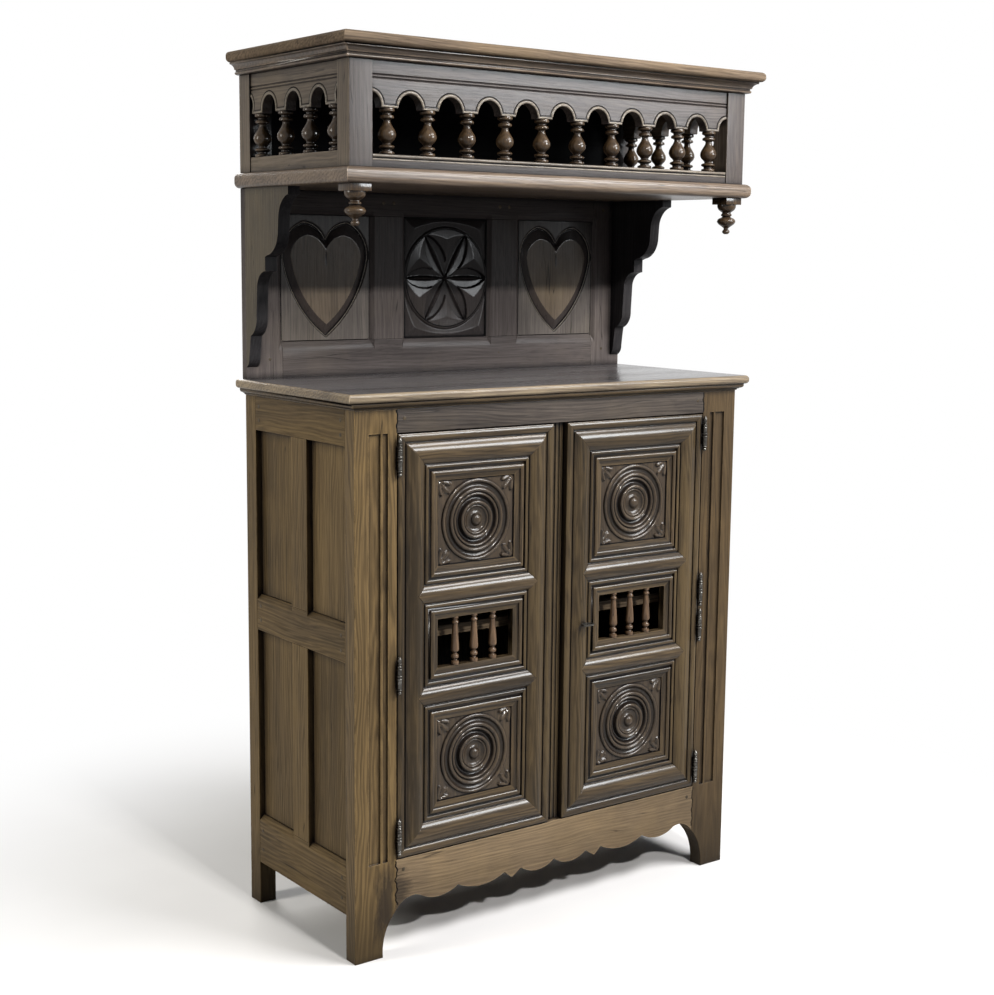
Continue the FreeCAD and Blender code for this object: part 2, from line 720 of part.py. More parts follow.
def hutch():
    """Back frame with splayed openings, carved panels and the two shaped consoles."""
    y = (HUTCH_FACE, BACK)
    seat = f"({WORKTOP} - hutch_housing)"
    low_top = f"({WORKTOP} + hutch_low_rail)"
    top_bottom = f"({CANOPY_BOTTOM} - hutch_top_rail)"
    end = (f"-{HALF_GALLERY}", f"hutch_end_stile - {HALF_GALLERY}")
    inner_edge = f"({HALF_GALLERY} - hutch_end_stile)"
    middle = "rosette_width / 2"
    inner_stile = (f"-{middle} - hutch_stile", f"-{middle}")
    height = (low_top, top_bottom)
    centre_splay = splay("splay_centre", (f"-{middle}", middle), height)
    left_splay = splay("splay_left", (f"-{inner_edge}", inner_stile[0]), height)
    splays = [centre_splay, left_splay, mirrored("splay_right", left_splay)]
    rails = []
    for name, span in (("low", (seat, low_top)), ("top", (top_bottom, CANOPY_BOTTOM))):
        blank = board(f"hutch_rail_{name}_blank", (f"-{inner_edge}", inner_edge), y, span)
        rails.append(cut(f"hutch_rail_{name}", blank, splays))
    end_left = cut("hutch_end_left", board("hutch_end_blank", end, y, (seat, CANOPY_BOTTOM)), [left_splay])
    stile_left = cut("hutch_stile_left", board("hutch_stile_blank", inner_stile, y, height),
                     [centre_splay, left_splay])
    stiles = [end_left, stile_left, mirrored("hutch_end_right", end_left),
              mirrored("hutch_stile_right", stile_left)]
    tall = f"({top_bottom} - {low_top})"
    centre = f"({low_top} + {tall} / 2)"
    rosette = rosette_panel("rosette_width", tall)
    place(rosette, "0", f"{HUTCH_FACE} + hutch_recess", centre)
    heart_width = f"({inner_edge} - {middle} - hutch_stile)"
    heart = heart_panel("heart_panel_left", heart_width, tall)
    place(heart, f"-({middle} + hutch_stile + {heart_width} / 2)", f"{HUTCH_FACE} + hutch_recess", centre)
    left = console()
    return [group("hutch_rails", rails), group("hutch_stiles", stiles), rosette, heart,
            mirrored("heart_panel_right", heart), left, mirrored("console_right", left)]


def centred_panel(label, wide, tall, thickness, hole=None):
    """Panel about its own middle, front face on its XZ plane."""
    body = new_body(label)
    loop = rectangle((f"-{wide} / 2", f"{wide} / 2"), (f"-{tall} / 2", f"{tall} / 2"))
    pad(body, outline(body, "XZ_Plane", [loop]), thickness, reverse=True)
    if hole is not None:
        pocket(body, circle_outline(body, "XZ_Plane", hole))
    return body


def rosette_panel(wide, tall):
    """Panel with a sunk six-petal rosette inside a ring groove."""
    body = centred_panel("rosette_panel", wide, tall, "hutch_panel")
    radius = f"(min({wide}; {tall}) / 2 - rosette_margin)"
    inner = f"{radius} * 0.06"
    outer = f"({radius} - rosette_rim - rosette_margin)"
    petal = pocket(body, outline(body, "XZ_Plane", [[(inner, "0", 0.3), (outer, "0", 0.3)]]), "petal_depth")
    pattern = body.newObject("PartDesign::PolarPattern", "petal_ring")
    pattern.Originals = [petal]
    pattern.Axis = (origin_axis(body, "Y_Axis"), [""])
    pattern.Angle = 360
    pattern.Occurrences = PETALS
    body.Tip = pattern
    pocket(body, circle_outline(body, "XZ_Plane", radius, f"{radius} - rosette_rim"), "rosette_rim_depth")
    return body


def origin_axis(body, role):
    return next(item for item in body.Origin.OriginFeatures if item.Role == role)


def heart_loop(wide, side, top, notch, tip):
    """Heart seen from the front: pointed below, two lobes that meet in a notch above."""
    half = f"({wide}) / 2"
    crest = f"({wide}) * 0.27"
    right = [("0", tip, 0.2), (half, side, 0.34), (crest, top, 0.3)]
    left = [("0", notch, 0.3), (f"-{crest}", top, 0.34), (f"-{half}", side, 0.2)]
    return right + left


def heart_panel(label, wide, tall):
    """Panel with a sunk band that follows a heart."""
    body = centred_panel(label, wide, tall, "hutch_panel")
    outer = heart_loop(f"{wide} * 0.91", f"{tall} * 0.1", f"{tall} * 0.38", f"{tall} * 0.24",
                       f"-{tall} * 0.47")
    inner = heart_loop(f"{wide} * 0.74", f"{tall} * 0.08", f"{tall} * 0.33", f"{tall} * 0.08",
                       f"-{tall} * 0.37")
    pocket(body, outline(body, "XZ_Plane", [outer, inner]), "heart_depth")
    return body


def console():
    """Side board of the hutch: coves and ovolos that step back from the canopy to the frame."""
    body = new_body("console_left")
    tall = "console_height"
    reach = "console_reach"
    steps = [("1", "1"), ("1", "0.957", -0.36), ("0.777", "0.826"), ("0.766", "0.759", 0.36)]
    steps += [("0.527", "0.632"), ("0.465", "0.622"), ("0.465", "0.544", -0.36), ("0.27", "0.46")]
    steps += [("0.25", "0.29", 0.34), ("0.106", "0.18"), ("0.09", "0.135"), ("0.07", "0.06", 0.3)]
    loop = [("0", "0"), ("0", tall)]
    for step in steps:
        loop.append((f"-{reach} * {step[0]}", f"{tall} * {step[1]}") + tuple(step[2:]))
    pad(body, outline(body, "YZ_Plane", [loop]), "console_thickness")
    return place(body, f"-{HALF_GALLERY}", HUTCH_FACE, f"{CANOPY_BOTTOM} - console_height")


def canopy():
    """Floor board, finials, posts, sills, arcades, spindles, back, cornice and top board."""
    floor = nosed_board("canopy_floor_board", f"2 * ({HALF_GALLERY} + canopy_overhang)",
                        f"{GALLERY_DEPTH} + canopy_front", "canopy_floor", CANOPY_BOTTOM, "canopy_nose")
    front_left = board("gallery_post_front_left", (f"-{HALF_GALLERY}", f"-{GALLERY_OPENING}"),
                       (GALLERY_FRONT, f"{GALLERY_FRONT} + gallery_post_depth"), (GALLERY_FLOOR, FRIEZE_TOP))
    back_left = board("gallery_post_back_left", (f"-{HALF_GALLERY}", f"-{GALLERY_OPENING}"),
                      (f"{BACK} - gallery_post_depth", BACK), (GALLERY_FLOOR, FRIEZE_TOP))
    posts = group("gallery_posts", [front_left, back_left, mirrored("gallery_post_front_right", front_left),
                                    mirrored("gallery_post_back_right", back_left)])
    back = board("gallery_back_board", (f"-{GALLERY_OPENING}", GALLERY_OPENING),
                 (f"{BACK} - back_inset - gallery_back", f"{BACK} - back_inset"),
                 (GALLERY_FLOOR, f"{FRIEZE_TOP} + cornice_height"))
    return [floor, finials(), posts, back] + gallery_fronts() + cornice()


def arcade_loop(half, pitch, spindles, tall, rise):
    """Board outline with arches between the flat tips that stand over the spindles."""
    spring = f"({rise} - {ROUND_BULGE} * arch_width / 2)"
    tip = f"({pitch} - arch_width) / 2"
    loop = [(f"-{half}", tall), (f"-{half}", rise, -0.4)]
    for index in range(spindles):
        middle = f"{pitch} * {index - (spindles - 1) / 2}"
        loop.append((f"{middle} - {tip}", "0"))
        if index == spindles - 1:
            loop.append((f"{middle} + {tip}", "0", -0.4))
        else:
            loop.append((f"{middle} + {tip}", "0"))
            loop.append((f"{middle} + {tip}", spring, -ROUND_BULGE))
            loop.append((f"{middle} + {tip} + arch_width", spring))
    return loop + [(half, rise), (half, tall)]


def frieze_lines(half, tall):
    """Two sunk lines that run along an arcade board under its plain band."""
    loops = []
    for drop in ("frieze_band", "(frieze_band + frieze_line + frieze_line_gap)"):
        top = f"{tall} - {drop}"
        loops.append(rectangle((f"-{half}", half), (f"{top} - frieze_line", top)))
    return loops


def gallery_fronts():
    """Sill, arcade board and spindles of the front and of both sides."""
    front_y = f"({GALLERY_FRONT} + gallery_set_back)"
    middle_y = f"({front_y} + arcade_thickness / 2)"
    arcade = new_body("arcade_front")
    arches = arcade_loop(GALLERY_OPENING, FRONT_PITCH, FRONT_SPINDLES, "arcade_height", "arch_rise")
    pad(arcade, outline(arcade, "XZ_Plane", [arches]), "arcade_thickness", reverse=True)
    lines = frieze_lines(GALLERY_OPENING, "arcade_height")
    pocket(arcade, outline(arcade, "XZ_Plane", lines), "frieze_line_depth")
    place(arcade, "0", front_y, ARCADE_BOTTOM)
    side_start = f"({GALLERY_FRONT} + gallery_post_depth)"
    side_end = f"({BACK} - gallery_post_depth)"
    side_half = f"(({side_end} - {side_start}) / 2)"
    side_middle = f"(({side_end} + {side_start}) / 2)"
    side = new_body("arcade_left")
    side_tall = "(arcade_height - side_sill_lift)"
    arches = arcade_loop(side_half, SIDE_PITCH, SIDE_SPINDLES, side_tall, "side_arch_rise")
    pad(side, outline(side, "YZ_Plane", [arches]), "arcade_thickness")
    lines = frieze_lines(side_half, side_tall)
    pocket(side, outline(side, "YZ_Plane", lines), "frieze_line_depth").Reversed = True
    side_x = f"(gallery_set_back - {HALF_GALLERY})"
    place(side, side_x, side_middle, f"{ARCADE_BOTTOM} + side_sill_lift")
    sill_z = (GALLERY_FLOOR, SPINDLE_FOOT)
    sill_face = f"{GALLERY_FRONT} + gallery_set_back / 2"
    sill_front = board("gallery_sill_front", (f"-{GALLERY_OPENING}", GALLERY_OPENING),
                       (sill_face, f"{GALLERY_FRONT} + gallery_post_depth"), sill_z)
    sill_left = board("gallery_sill_left", (f"gallery_set_back / 2 - {HALF_GALLERY}",
                                            f"gallery_post_depth - {HALF_GALLERY}"), (side_start, side_end),
                      (GALLERY_FLOOR, f"{SPINDLE_FOOT} + side_sill_lift"))
    sills = group("gallery_sills", [sill_front, sill_left, mirrored("gallery_sill_right", sill_left)])
    spindle = gallery_spindle()
    front_spots = []
    for index in range(FRONT_SPINDLES):
        front_spots.append((f"{FRONT_PITCH} * {index - (FRONT_SPINDLES - 1) / 2}", middle_y, SPINDLE_FOOT))
    left_spots = []
    for index in range(SIDE_SPINDLES):
        offset = index - (SIDE_SPINDLES - 1) / 2
        left_spots.append((f"{side_x} + arcade_thickness / 2", f"{side_middle} + {SIDE_PITCH} * {offset}",
                           f"{SPINDLE_FOOT} + side_sill_lift"))
    left_spindles = copies("side_spindles_left", spindle, left_spots)
    front_spindles = copies("front_spindles", spindle, front_spots)
    return [arcade, side, mirrored("arcade_right", side), sills, front_spindles, left_spindles,
            mirrored("side_spindles_right", left_spindles)]


def gallery_spindle():
    """Squat turned baluster: ringed foot, bulb, neck and ringed head."""
    shape = [("0.74", "0"), ("0.74", "0.06"), ("0.5", "0.11"), ("0.8", "0.17"), ("0.46", "0.24")]
    shape += [("1", "0.39"), ("0.86", "0.54"), ("0.36", "0.73"), ("0.74", "0.81"), ("0.48", "0.88")]
    shape += [("0.8", "0.94"), ("0.8", "1")]
    profile = [(f"spindle_radius * {radius}", f"{SPINDLE_HEIGHT} * {height}") for radius, height in shape]
    return eight_sided("gallery_spindle", profile)


def finials():
    """Pendant finials under the front corners: square block, cup, neck, ball and tip."""
    block_half = "finial_block / 2"
    shape = [("0.3", "-1"), ("0.36", "-0.9"), ("0.28", "-0.82"), ("0.85", "-0.7"), ("1", "-0.58")]
    shape += [("0.85", "-0.46"), ("0.4", "-0.36"), ("0.5", "-0.28"), ("1.05", "-0.12"), ("1.05", "0")]
    profile = [(f"finial_radius * {radius}", f"finial_length * {height}") for radius, height in shape]
    drop = eight_sided("finial_drop", profile)
    block = board("finial_block_piece", (f"-{block_half}", block_half), (f"-{block_half}", block_half),
                  ("0", "finial_block_height"))
    whole = fuse("finial_whole", [drop, block])
    x = f"({HALF_GALLERY} - gallery_post_width / 2)"
    y = f"{GALLERY_FRONT} + gallery_post_depth / 2"
    z = f"{CANOPY_BOTTOM} - finial_block_height"
    return copies("finials", whole, [(f"-{x}", y, z), (x, y, z)])


def cornice():
    """Moulding mitred round three sides, and the board that closes the top."""
    reach = "cornice_reach"
    tall = "cornice_height"
    section = [("0", tall), ("0", f"{tall} * 0.85", -0.3), (f"{reach} * 0.5", f"{tall} * 0.5")]
    section += [(f"{reach} * 0.5", f"{tall} * 0.42"), (f"{reach} * 0.65", f"{tall} * 0.42")]
    section += [(f"{reach} * 0.65", f"{tall} * 0.26", 0.8), (f"{reach} * 0.65", f"{tall} * 0.04")]
    seat = "(cornice_reach + gallery_post_width)"
    section += [(f"{reach} * 0.8", "0"), (seat, "0"), (seat, tall)]
    moulding = mitred_run("cornice_moulding", section, seat, GALLERY_OPENING,
                          f"({GALLERY_FRONT} + gallery_post_width)", FRIEZE_TOP)
    top = nosed_board("top_board", f"2 * ({HALF_GALLERY} + cornice_reach + top_overhang)",
                      f"{GALLERY_DEPTH} + cornice_reach + top_front", "top_thickness",
                      f"{FRIEZE_TOP} + cornice_height", "top_nose")
    return [moulding, top]


def frame_section():
    """Section of a door's stiles and outer rails: round band, cushion and inner bead."""
    flat = "cushion_proud"
    band = "frame_band"
    cushion = "frame_band + frame_groove"
    bead = "frame_width - frame_bead - frame_groove"
    rear = DOOR_DEPTH
    rise = number("2 * cushion_proud / (frame_width - frame_band - 2 * frame_groove - frame_bead)")
    section = [("0", rear), ("0", flat, 0.3), (band, flat), (band, f"{flat} + frame_groove")]
    section += [(cushion, f"{flat} + frame_groove"), (cushion, flat, rise), (bead, flat)]
    section += [(bead, f"{flat} + frame_groove"), (f"{bead} + frame_groove", f"{flat} + frame_groove")]
    section += [(f"{bead} + frame_groove", flat, 0.3), ("frame_width", flat), ("frame_width", rear)]
    return section


def mid_rail_section():
    """Section of a middle rail: one cushion between two narrow beads."""
    flat = "cushion_proud"
    inner = "frame_bead + frame_groove"
    sunk = f"{flat} + frame_groove"
    far = f"mid_rail - ({inner})"
    section = [("0", DOOR_DEPTH), ("0", flat, 0.3), ("frame_bead", flat), ("frame_bead", sunk)]
    rise = number("2 * cushion_proud / (mid_rail - 2 * frame_bead - 2 * frame_groove)")
    section += [(inner, sunk), (inner, flat, rise), (far, flat), (far, sunk)]
    section += [("mid_rail - frame_bead", sunk), ("mid_rail - frame_bead", flat, 0.3)]
    return section + [("mid_rail", flat), ("mid_rail", DOOR_DEPTH)]


def mould_section(rear):
    """Section of the moulding round a door opening: sunk quirk, raised bead, slope down to the field."""
    floor = "(cushion_proud + mould_sink)"
    crown = "(cushion_proud - mould_proud)"
    bead_end = "(mould_quirk + mould_bead)"
    lip = "(cushion_proud + panel_recess - mould_lip)"
    section = [("0", rear), ("0", floor), ("mould_quirk", floor), ("mould_quirk", crown, 0.3)]
    section += [(bead_end, crown), (bead_end, f"{crown} + mould_step"), ("mould_width", lip)]
    section.append(("mould_width", rear))
    return section


def frame_of_sticks(label, section, width, wide, tall, x, y, z):
    """Four mitred sticks round a rectangle whose lower left outer corner is at x, y, z."""
    upright = stick(f"{label}_left", section, width, tall)
    place(upright, x, y, z)
    far = stick(f"{label}_right", section, width, tall)
    place(far, f"{x} + {wide}", y, f"{z} + {tall}", (SPIN, 180))
    top = stick(f"{label}_top", section, width, wide)
    place(top, x, y, f"{z} + {tall}", (SPIN, 90))
    bottom = stick(f"{label}_bottom", section, width, wide)
    place(bottom, f"{x} + {wide}", y, z, (SPIN, -90))
    return [upright, far, top, bottom]


def left_door():
    """Left door: moulded frame, carved panels, mouldings and spindles."""
    section = frame_section()
    low_mid = "frame_width + panel_height"
    window_bottom = f"({low_mid} + mid_rail)"
    high_mid = f"({window_bottom} + window_height)"
    upper_bottom = f"({high_mid} + mid_rail)"
    notches = [(low_mid, "mid_rail"), (high_mid, "mid_rail")]
    from_top = [(f"{DOOR_HEIGHT} - ({start}) - mid_rail", size) for start, size in notches]
    hinge_stile = stick("left_hinge_stile", section, "frame_width", DOOR_HEIGHT, notches=notches)
    place(hinge_stile, DOOR_LEFT, DOOR_FACE, DOOR_BOTTOM)
    meeting_stile = stick("left_meeting_stile", section, "frame_width", DOOR_HEIGHT, notches=from_top)
    far_edge = f"{DOOR_LEFT} + {DOOR_WIDTH}"
    door_top = f"{DOOR_BOTTOM} + {DOOR_HEIGHT}"
    place(meeting_stile, far_edge, DOOR_FACE, door_top, (SPIN, 180))
    top = stick("left_top_door_rail", section, "frame_width", DOOR_WIDTH)
    place(top, DOOR_LEFT, DOOR_FACE, door_top, (SPIN, 90))
    bottom = stick("left_bottom_door_rail", section, "frame_width", DOOR_WIDTH)
    place(bottom, far_edge, DOOR_FACE, DOOR_BOTTOM, (SPIN, -90))
    rails = [top, bottom]
    inner_x = f"({DOOR_LEFT} + frame_width)"
    rail_length = f"{DOOR_OPENING} + mid_rail"
    for name, start in (("low", low_mid), ("high", high_mid)):
        rail = pointed_stick(f"left_{name}_mid_rail", mid_rail_section(), "mid_rail", rail_length)
        rail_top = f"{DOOR_BOTTOM} + {start} + mid_rail"
        rails.append(place(rail, f"{inner_x} - mid_rail / 2", DOOR_FACE, rail_top, (SPIN, 90)))
    panel_front = "(cushion_proud + panel_recess)"
    mouldings = []
    panels = []
    tall = "panel_height"
    for name, start in (("lower", "frame_width"), ("upper", upper_bottom)):
        bottom_z = f"({DOOR_BOTTOM} + {start})"
        mouldings += frame_of_sticks(f"left_{name}_mould", mould_section(panel_front), "mould_width",
                                     DOOR_OPENING, tall, inner_x, DOOR_FACE, bottom_z)
        panel = roundel_panel(f"left_{name}_panel", DOOR_OPENING, tall)
        panel_y = f"{DOOR_FACE} + {panel_front}"
        panels.append(place(panel, f"{inner_x} + {DOOR_OPENING} / 2", panel_y, f"{bottom_z} + {tall} / 2"))
    window_z = f"({DOOR_BOTTOM} + {window_bottom})"
    mouldings += frame_of_sticks("left_window_mould", mould_section(f"({DOOR_DEPTH} - window_mould_back)"),
                                 "mould_width", DOOR_OPENING, "window_height", inner_x, DOOR_FACE, window_z)
    spindle = door_spindle("(window_height - 2 * mould_width)")
    spots = []
    for index in range(DOOR_SPINDLES):
        offset = index - (DOOR_SPINDLES - 1) / 2
        spots.append((f"{inner_x} + {DOOR_OPENING} / 2 + {DOOR_SPINDLE_PITCH} * {offset}",
                      f"{DOOR_BACK} - window_mould_back - door_spindle_radius", f"{window_z} + mould_width"))
    return {
        "stiles": group("left_door_stiles", [hinge_stile, meeting_stile]),
        "rails": group("left_door_rails", rails),
        "panels": group("left_door_panels", panels),
        "mouldings": group("left_door_mouldings", mouldings),
        "spindles": copies("left_door_spindles", spindle, spots),
    }


def roundel_panel(label, wide, tall):
    """Panel with a turned roundel: raised rings round a dished middle with a button."""
    body = centred_panel(label, wide, tall, "panel_thickness", ROUNDEL)
    rings = [("0", "-0.6"), ("0.15", "0.5"), ("0.41", "-0.7"), ("0.53", "0.7"), ("0.7", "-0.7")]
    rings += [("0.84", "0.2"), ("0.95", "-0.5"), ("1", "0")]
    loop = [("panel_thickness", "0")]
    for radius, rise in rings:
        loop.append((f"roundel_relief * {rise}", f"{ROUNDEL} * {radius}"))
    loop.append(("panel_thickness", ROUNDEL))
    revolve(body, outline(body, "YZ_Plane", [loop]), "H_Axis")
    return body


def door_spindle(height):
    """Small turned spindle: ringed foot, column that tapers upwards, and ringed head."""
    shape = [("0.95", "0"), ("0.95", "0.07"), ("0.5", "0.12"), ("0.9", "0.18"), ("0.5", "0.24")]
    shape += [("1", "0.3"), ("0.55", "0.84"), ("0.75", "0.89"), ("0.5", "0.93"), ("0.7", "1")]
    profile = [(f"door_spindle_radius * {radius}", f"{height} * {share}") for radius, share in shape]
    return eight_sided("door_spindle", profile)


def hinge_parts():
    """Barrel hinge: lower barrel with its pin, upper barrel with its bore, each with a leaf at its back."""
    low_start = "(hinge_joint - hinge_low_barrel)"
    top_start = "(hinge_joint + slip)"
    depth = ("0", "hinge_stand_off + hinge_leaf_depth")
    post_leaf = board("hinge_lower_leaf", ("-door_gap / 2", "hinge_leaf - door_gap / 2"), depth,
                      (low_start, "hinge_joint"))
    door_leaf = board("hinge_upper_leaf", ("door_gap / 2 - hinge_leaf", "door_gap / 2"), depth,
                      (top_start, f"{top_start} + hinge_top_barrel"))
    low_barrel = barrel("hinge_low_turning", "hinge_radius", "hinge_low_barrel", low_start)
    pin = cylinder("hinge_pin", "hinge_pin_radius", "hinge_pin_length", "0", "0", "hinge_joint")
    top_barrel = barrel("hinge_top_turning", "hinge_radius", "hinge_top_barrel", top_start)
    bore = cylinder("hinge_bore", "hinge_pin_radius + running_play", "hinge_pin_length", "0", "0", top_start)
    lower = fuse("hinge_lower", [low_barrel, pin, post_leaf])
    return lower, cut("hinge_upper", fuse("hinge_upper_blank", [top_barrel, door_leaf]), [bore])


def hinges():
    """Three hinges on the left, and on the right one more stacked over the middle one."""
    lower, upper = hinge_parts()
    middle = f"{DOOR_MIDDLE} - hinge_middle_drop"
    heights = ["sill_top + hinge_low_gap", middle, f"{DOOR_HEAD} - hinge_top_gap - hinge_height"]
    spots = [(HINGE_X, HINGE_Y, height) for height in heights]
    extra = (HINGE_X, HINGE_Y, f"{middle} + hinge_height + hinge_stack_gap")
    left_lower = copies("hinge_lower_left", lower, spots)
    left_upper = copies("left_door_barrels", upper, spots)
    twin_lower = mirrored("hinge_lower_right", copies("hinge_lower_twin", lower, spots + [extra]))
    twin_upper = mirrored("right_door_barrels", copies("hinge_upper_twin", upper, spots + [extra]))
    return [group("hinge_posts", [left_lower, twin_lower]), left_upper, twin_upper]


def lock_and_key():
    """Lock case behind the right meeting stile, its bolt, and the key through the stile."""
    inner = "(stile_width / 2 + door_gap + lock_offset)"
    low = f"({KEY_Z} - lock_height / 2)"
    x = (inner, f"{inner} + lock_width")
    z = (low, f"{low} + lock_height")
    shell = board("lock_shell", x, (DOOR_BACK, f"{DOOR_BACK} + lock_depth"), z)
    room = board("lock_room", (f"{x[0]} + lock_wall", f"{x[1]} - lock_wall"),
                 (DOOR_BACK, f"{DOOR_BACK} + lock_depth - lock_wall"),
                 (f"{z[0]} + lock_wall", f"{z[1]} - lock_wall"))
    bolt_z = (f"{KEY_Z} - bolt_height / 2", f"{KEY_Z} + bolt_height / 2")
    slot = board("lock_slot", (x[0], f"{x[0]} + lock_wall"),
                 (f"{BOLT_Y} - slip", f"{BOLT_Y} + bolt_thickness + slip"),
                 (f"{bolt_z[0]} - slip", f"{bolt_z[1]} + slip"))
    case = cut("lock_case", shell, [room, slot])
    bolt_blank = board("lock_bolt_blank", (f"{x[0]} + slip", f"{x[0]} + bolt_length"),
                       (BOLT_Y, f"{BOLT_Y} + bolt_thickness"), bolt_z)
    gate = board("lock_bolt_gate", (f"{KEY_X} - bolt_gate / 2", f"{KEY_X} + bolt_gate / 2"),
                 (BOLT_Y, f"{BOLT_Y} + bolt_thickness"), (f"{bolt_z[0]} + bolt_foot", bolt_z[1]))
    bolt = cut("lock_bolt", bolt_blank, [gate])
    return [case, bolt, key()]


def key():
    """Plain key: oval ring bow, round shank and a small bit inside the lock."""
    middle = f"({BASE_FRONT} - key_reach)"
    half = "(key_bow_width - key_bow_depth) / 2"
    bow = new_body("key_bow_ring")
    loops = []
    for inset in ("0", "key_bow_rim"):
        rim = f"(key_bow_depth / 2 - {inset})"
        loop = [(f"-{half}", f"-{rim}"), (half, f"-{rim}", ROUND_BULGE)]
        loops.append(loop + [(half, rim), (f"-{half}", rim, ROUND_BULGE)])
    pad(bow, outline(bow, "XY_Plane", loops), "key_bow_thickness")
    place(bow, KEY_X, middle, f"{KEY_Z} - key_bow_thickness / 2")
    start = f"({middle} + key_bow_depth / 2 - key_bow_rim / 2)"
    shank_end = f"({DOOR_BACK} + key_overrun)"
    shank = cylinder("key_shank_rod", "key_shank", f"{shank_end} - {start}", KEY_X, start, KEY_Z, BACKWARDS)
    bit = board("key_bit", (f"{KEY_X} - key_bit_width / 2", f"{KEY_X} + key_bit_width / 2"),
                (DOOR_BACK, f"{DOOR_BACK} + key_bit_depth"), (f"{KEY_Z} - key_bit_length", KEY_Z))
    return fuse("key", [shank, bow, bit])


def slide_bolt():
    """Flat bolt inside the left door that slides up into the head rail, on a plate with two staples."""
    top = f"({DOOR_HEAD} - slip)"
    x = (f"{SLIDE_X} - slide_width / 2", f"{SLIDE_X} + slide_width / 2")
    y = (SLIDE_Y, f"{SLIDE_Y} + slide_thickness")
    low = f"({top} - slide_length)"
    bar = board("slide_bar", x, y, (low, top))
    knob = board("slide_knob_block", x, (y[1], f"{y[1]} + slide_knob"), (low, f"{low} + slide_width"))
    plate_top = f"({top} - slide_plate_drop)"
    half = "slide_plate_width / 2"
    plate = board("slide_base", (f"{SLIDE_X} - {half}", f"{SLIDE_X} + {half}"),
                  (DOOR_BACK, f"{DOOR_BACK} + slide_plate"),
                  (f"{plate_top} - slide_plate_height", plate_top))
    guides = []
    for index in range(2):
        guide_top = f"({plate_top} - slide_guide_wall - slide_guide_pitch * {index})"
        z = (f"{guide_top} - slide_guide_height", guide_top)
        staple = board(f"slide_staple_{index}", (f"{SLIDE_X} - slide_guide_width / 2",
                                                 f"{SLIDE_X} + slide_guide_width / 2"),
                       (f"{DOOR_BACK} + slide_plate", f"{y[1]} + slide_guide_wall"), z)
        eye = board(f"slide_eye_{index}", (f"{x[0]} - running_play", f"{x[1]} + running_play"),
                    (f"{DOOR_BACK} + slide_plate", f"{y[1]} + running_play"), z)
        guides.append(cut(f"slide_guide_{index}", staple, [eye]))
    return [fuse("slide_bolt", [bar, knob]), fuse("slide_bolt_plate", [plate] + guides)]


nodes = front_posts() + back_posts() + front_rails() + centre_stile() + side_frames() + inside() + worktop()
nodes += hutch() + canopy()
door = left_door()
nodes += list(door.values())
right_stiles = mirrored("right_door_stiles_blank", door["stiles"])
key_hole = cylinder("key_hole", "key_shank + running_play", DOOR_DEPTH, KEY_X, DOOR_FACE, KEY_Z, BACKWARDS)
nodes.append(cut("right_door_stiles", right_stiles, [key_hole]))
for piece in ("rails", "panels", "mouldings", "spindles"):
    nodes.append(mirrored(f"right_door_{piece}", door[piece]))
nodes += hinges() + lock_and_key() + slide_bolt()
doc.recompute()

for item in doc.Objects:
    if "Invalid" in item.State or "Error" in item.State:
        raise RuntimeError(f"{item.Label} failed: {item.State}")
for node in nodes:
    if node.Shape.isNull() or not node.Shape.isValid():
        raise RuntimeError(f"{node.Label} has no valid shape")

os.makedirs("parts", exist_ok=True)
for node in nodes:
    node.Shape.exportStep(f"parts/{node.Label}.step")
print(len(nodes), "nodes,", sum(len(node.Shape.Solids) for node in nodes), "solids")
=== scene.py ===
import math

import bmesh
import bpy
import numpy as np
from mathutils import Matrix, Vector


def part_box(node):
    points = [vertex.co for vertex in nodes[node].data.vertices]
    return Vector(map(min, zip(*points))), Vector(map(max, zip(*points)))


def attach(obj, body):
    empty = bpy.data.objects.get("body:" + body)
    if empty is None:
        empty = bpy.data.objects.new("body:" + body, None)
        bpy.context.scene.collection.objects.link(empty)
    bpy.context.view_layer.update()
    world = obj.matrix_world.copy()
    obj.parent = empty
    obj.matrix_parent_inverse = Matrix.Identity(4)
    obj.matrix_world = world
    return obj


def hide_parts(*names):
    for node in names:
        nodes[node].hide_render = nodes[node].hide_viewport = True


# Looks of the oak buffet: materials on the CAD nodes, and turned and carved pieces that stand for plain solids.
# Metres, in the same frame as the CAD.

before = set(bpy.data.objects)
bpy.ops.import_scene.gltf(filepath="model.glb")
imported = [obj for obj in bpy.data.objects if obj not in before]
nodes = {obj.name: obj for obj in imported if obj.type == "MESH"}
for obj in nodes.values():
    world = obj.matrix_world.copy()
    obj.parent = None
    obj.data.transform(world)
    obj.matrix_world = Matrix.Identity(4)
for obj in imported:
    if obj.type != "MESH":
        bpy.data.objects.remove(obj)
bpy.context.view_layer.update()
scene = bpy.context.scene
scene.view_settings.view_transform = "Standard"

DOOR_SIDES = ("left", "right")
WHITE = (1.0, 1.0, 1.0, 1.0)
TINY = 1e-6
PERCENT = 0.01
MILLIMETRE = 0.001


# Node helpers.

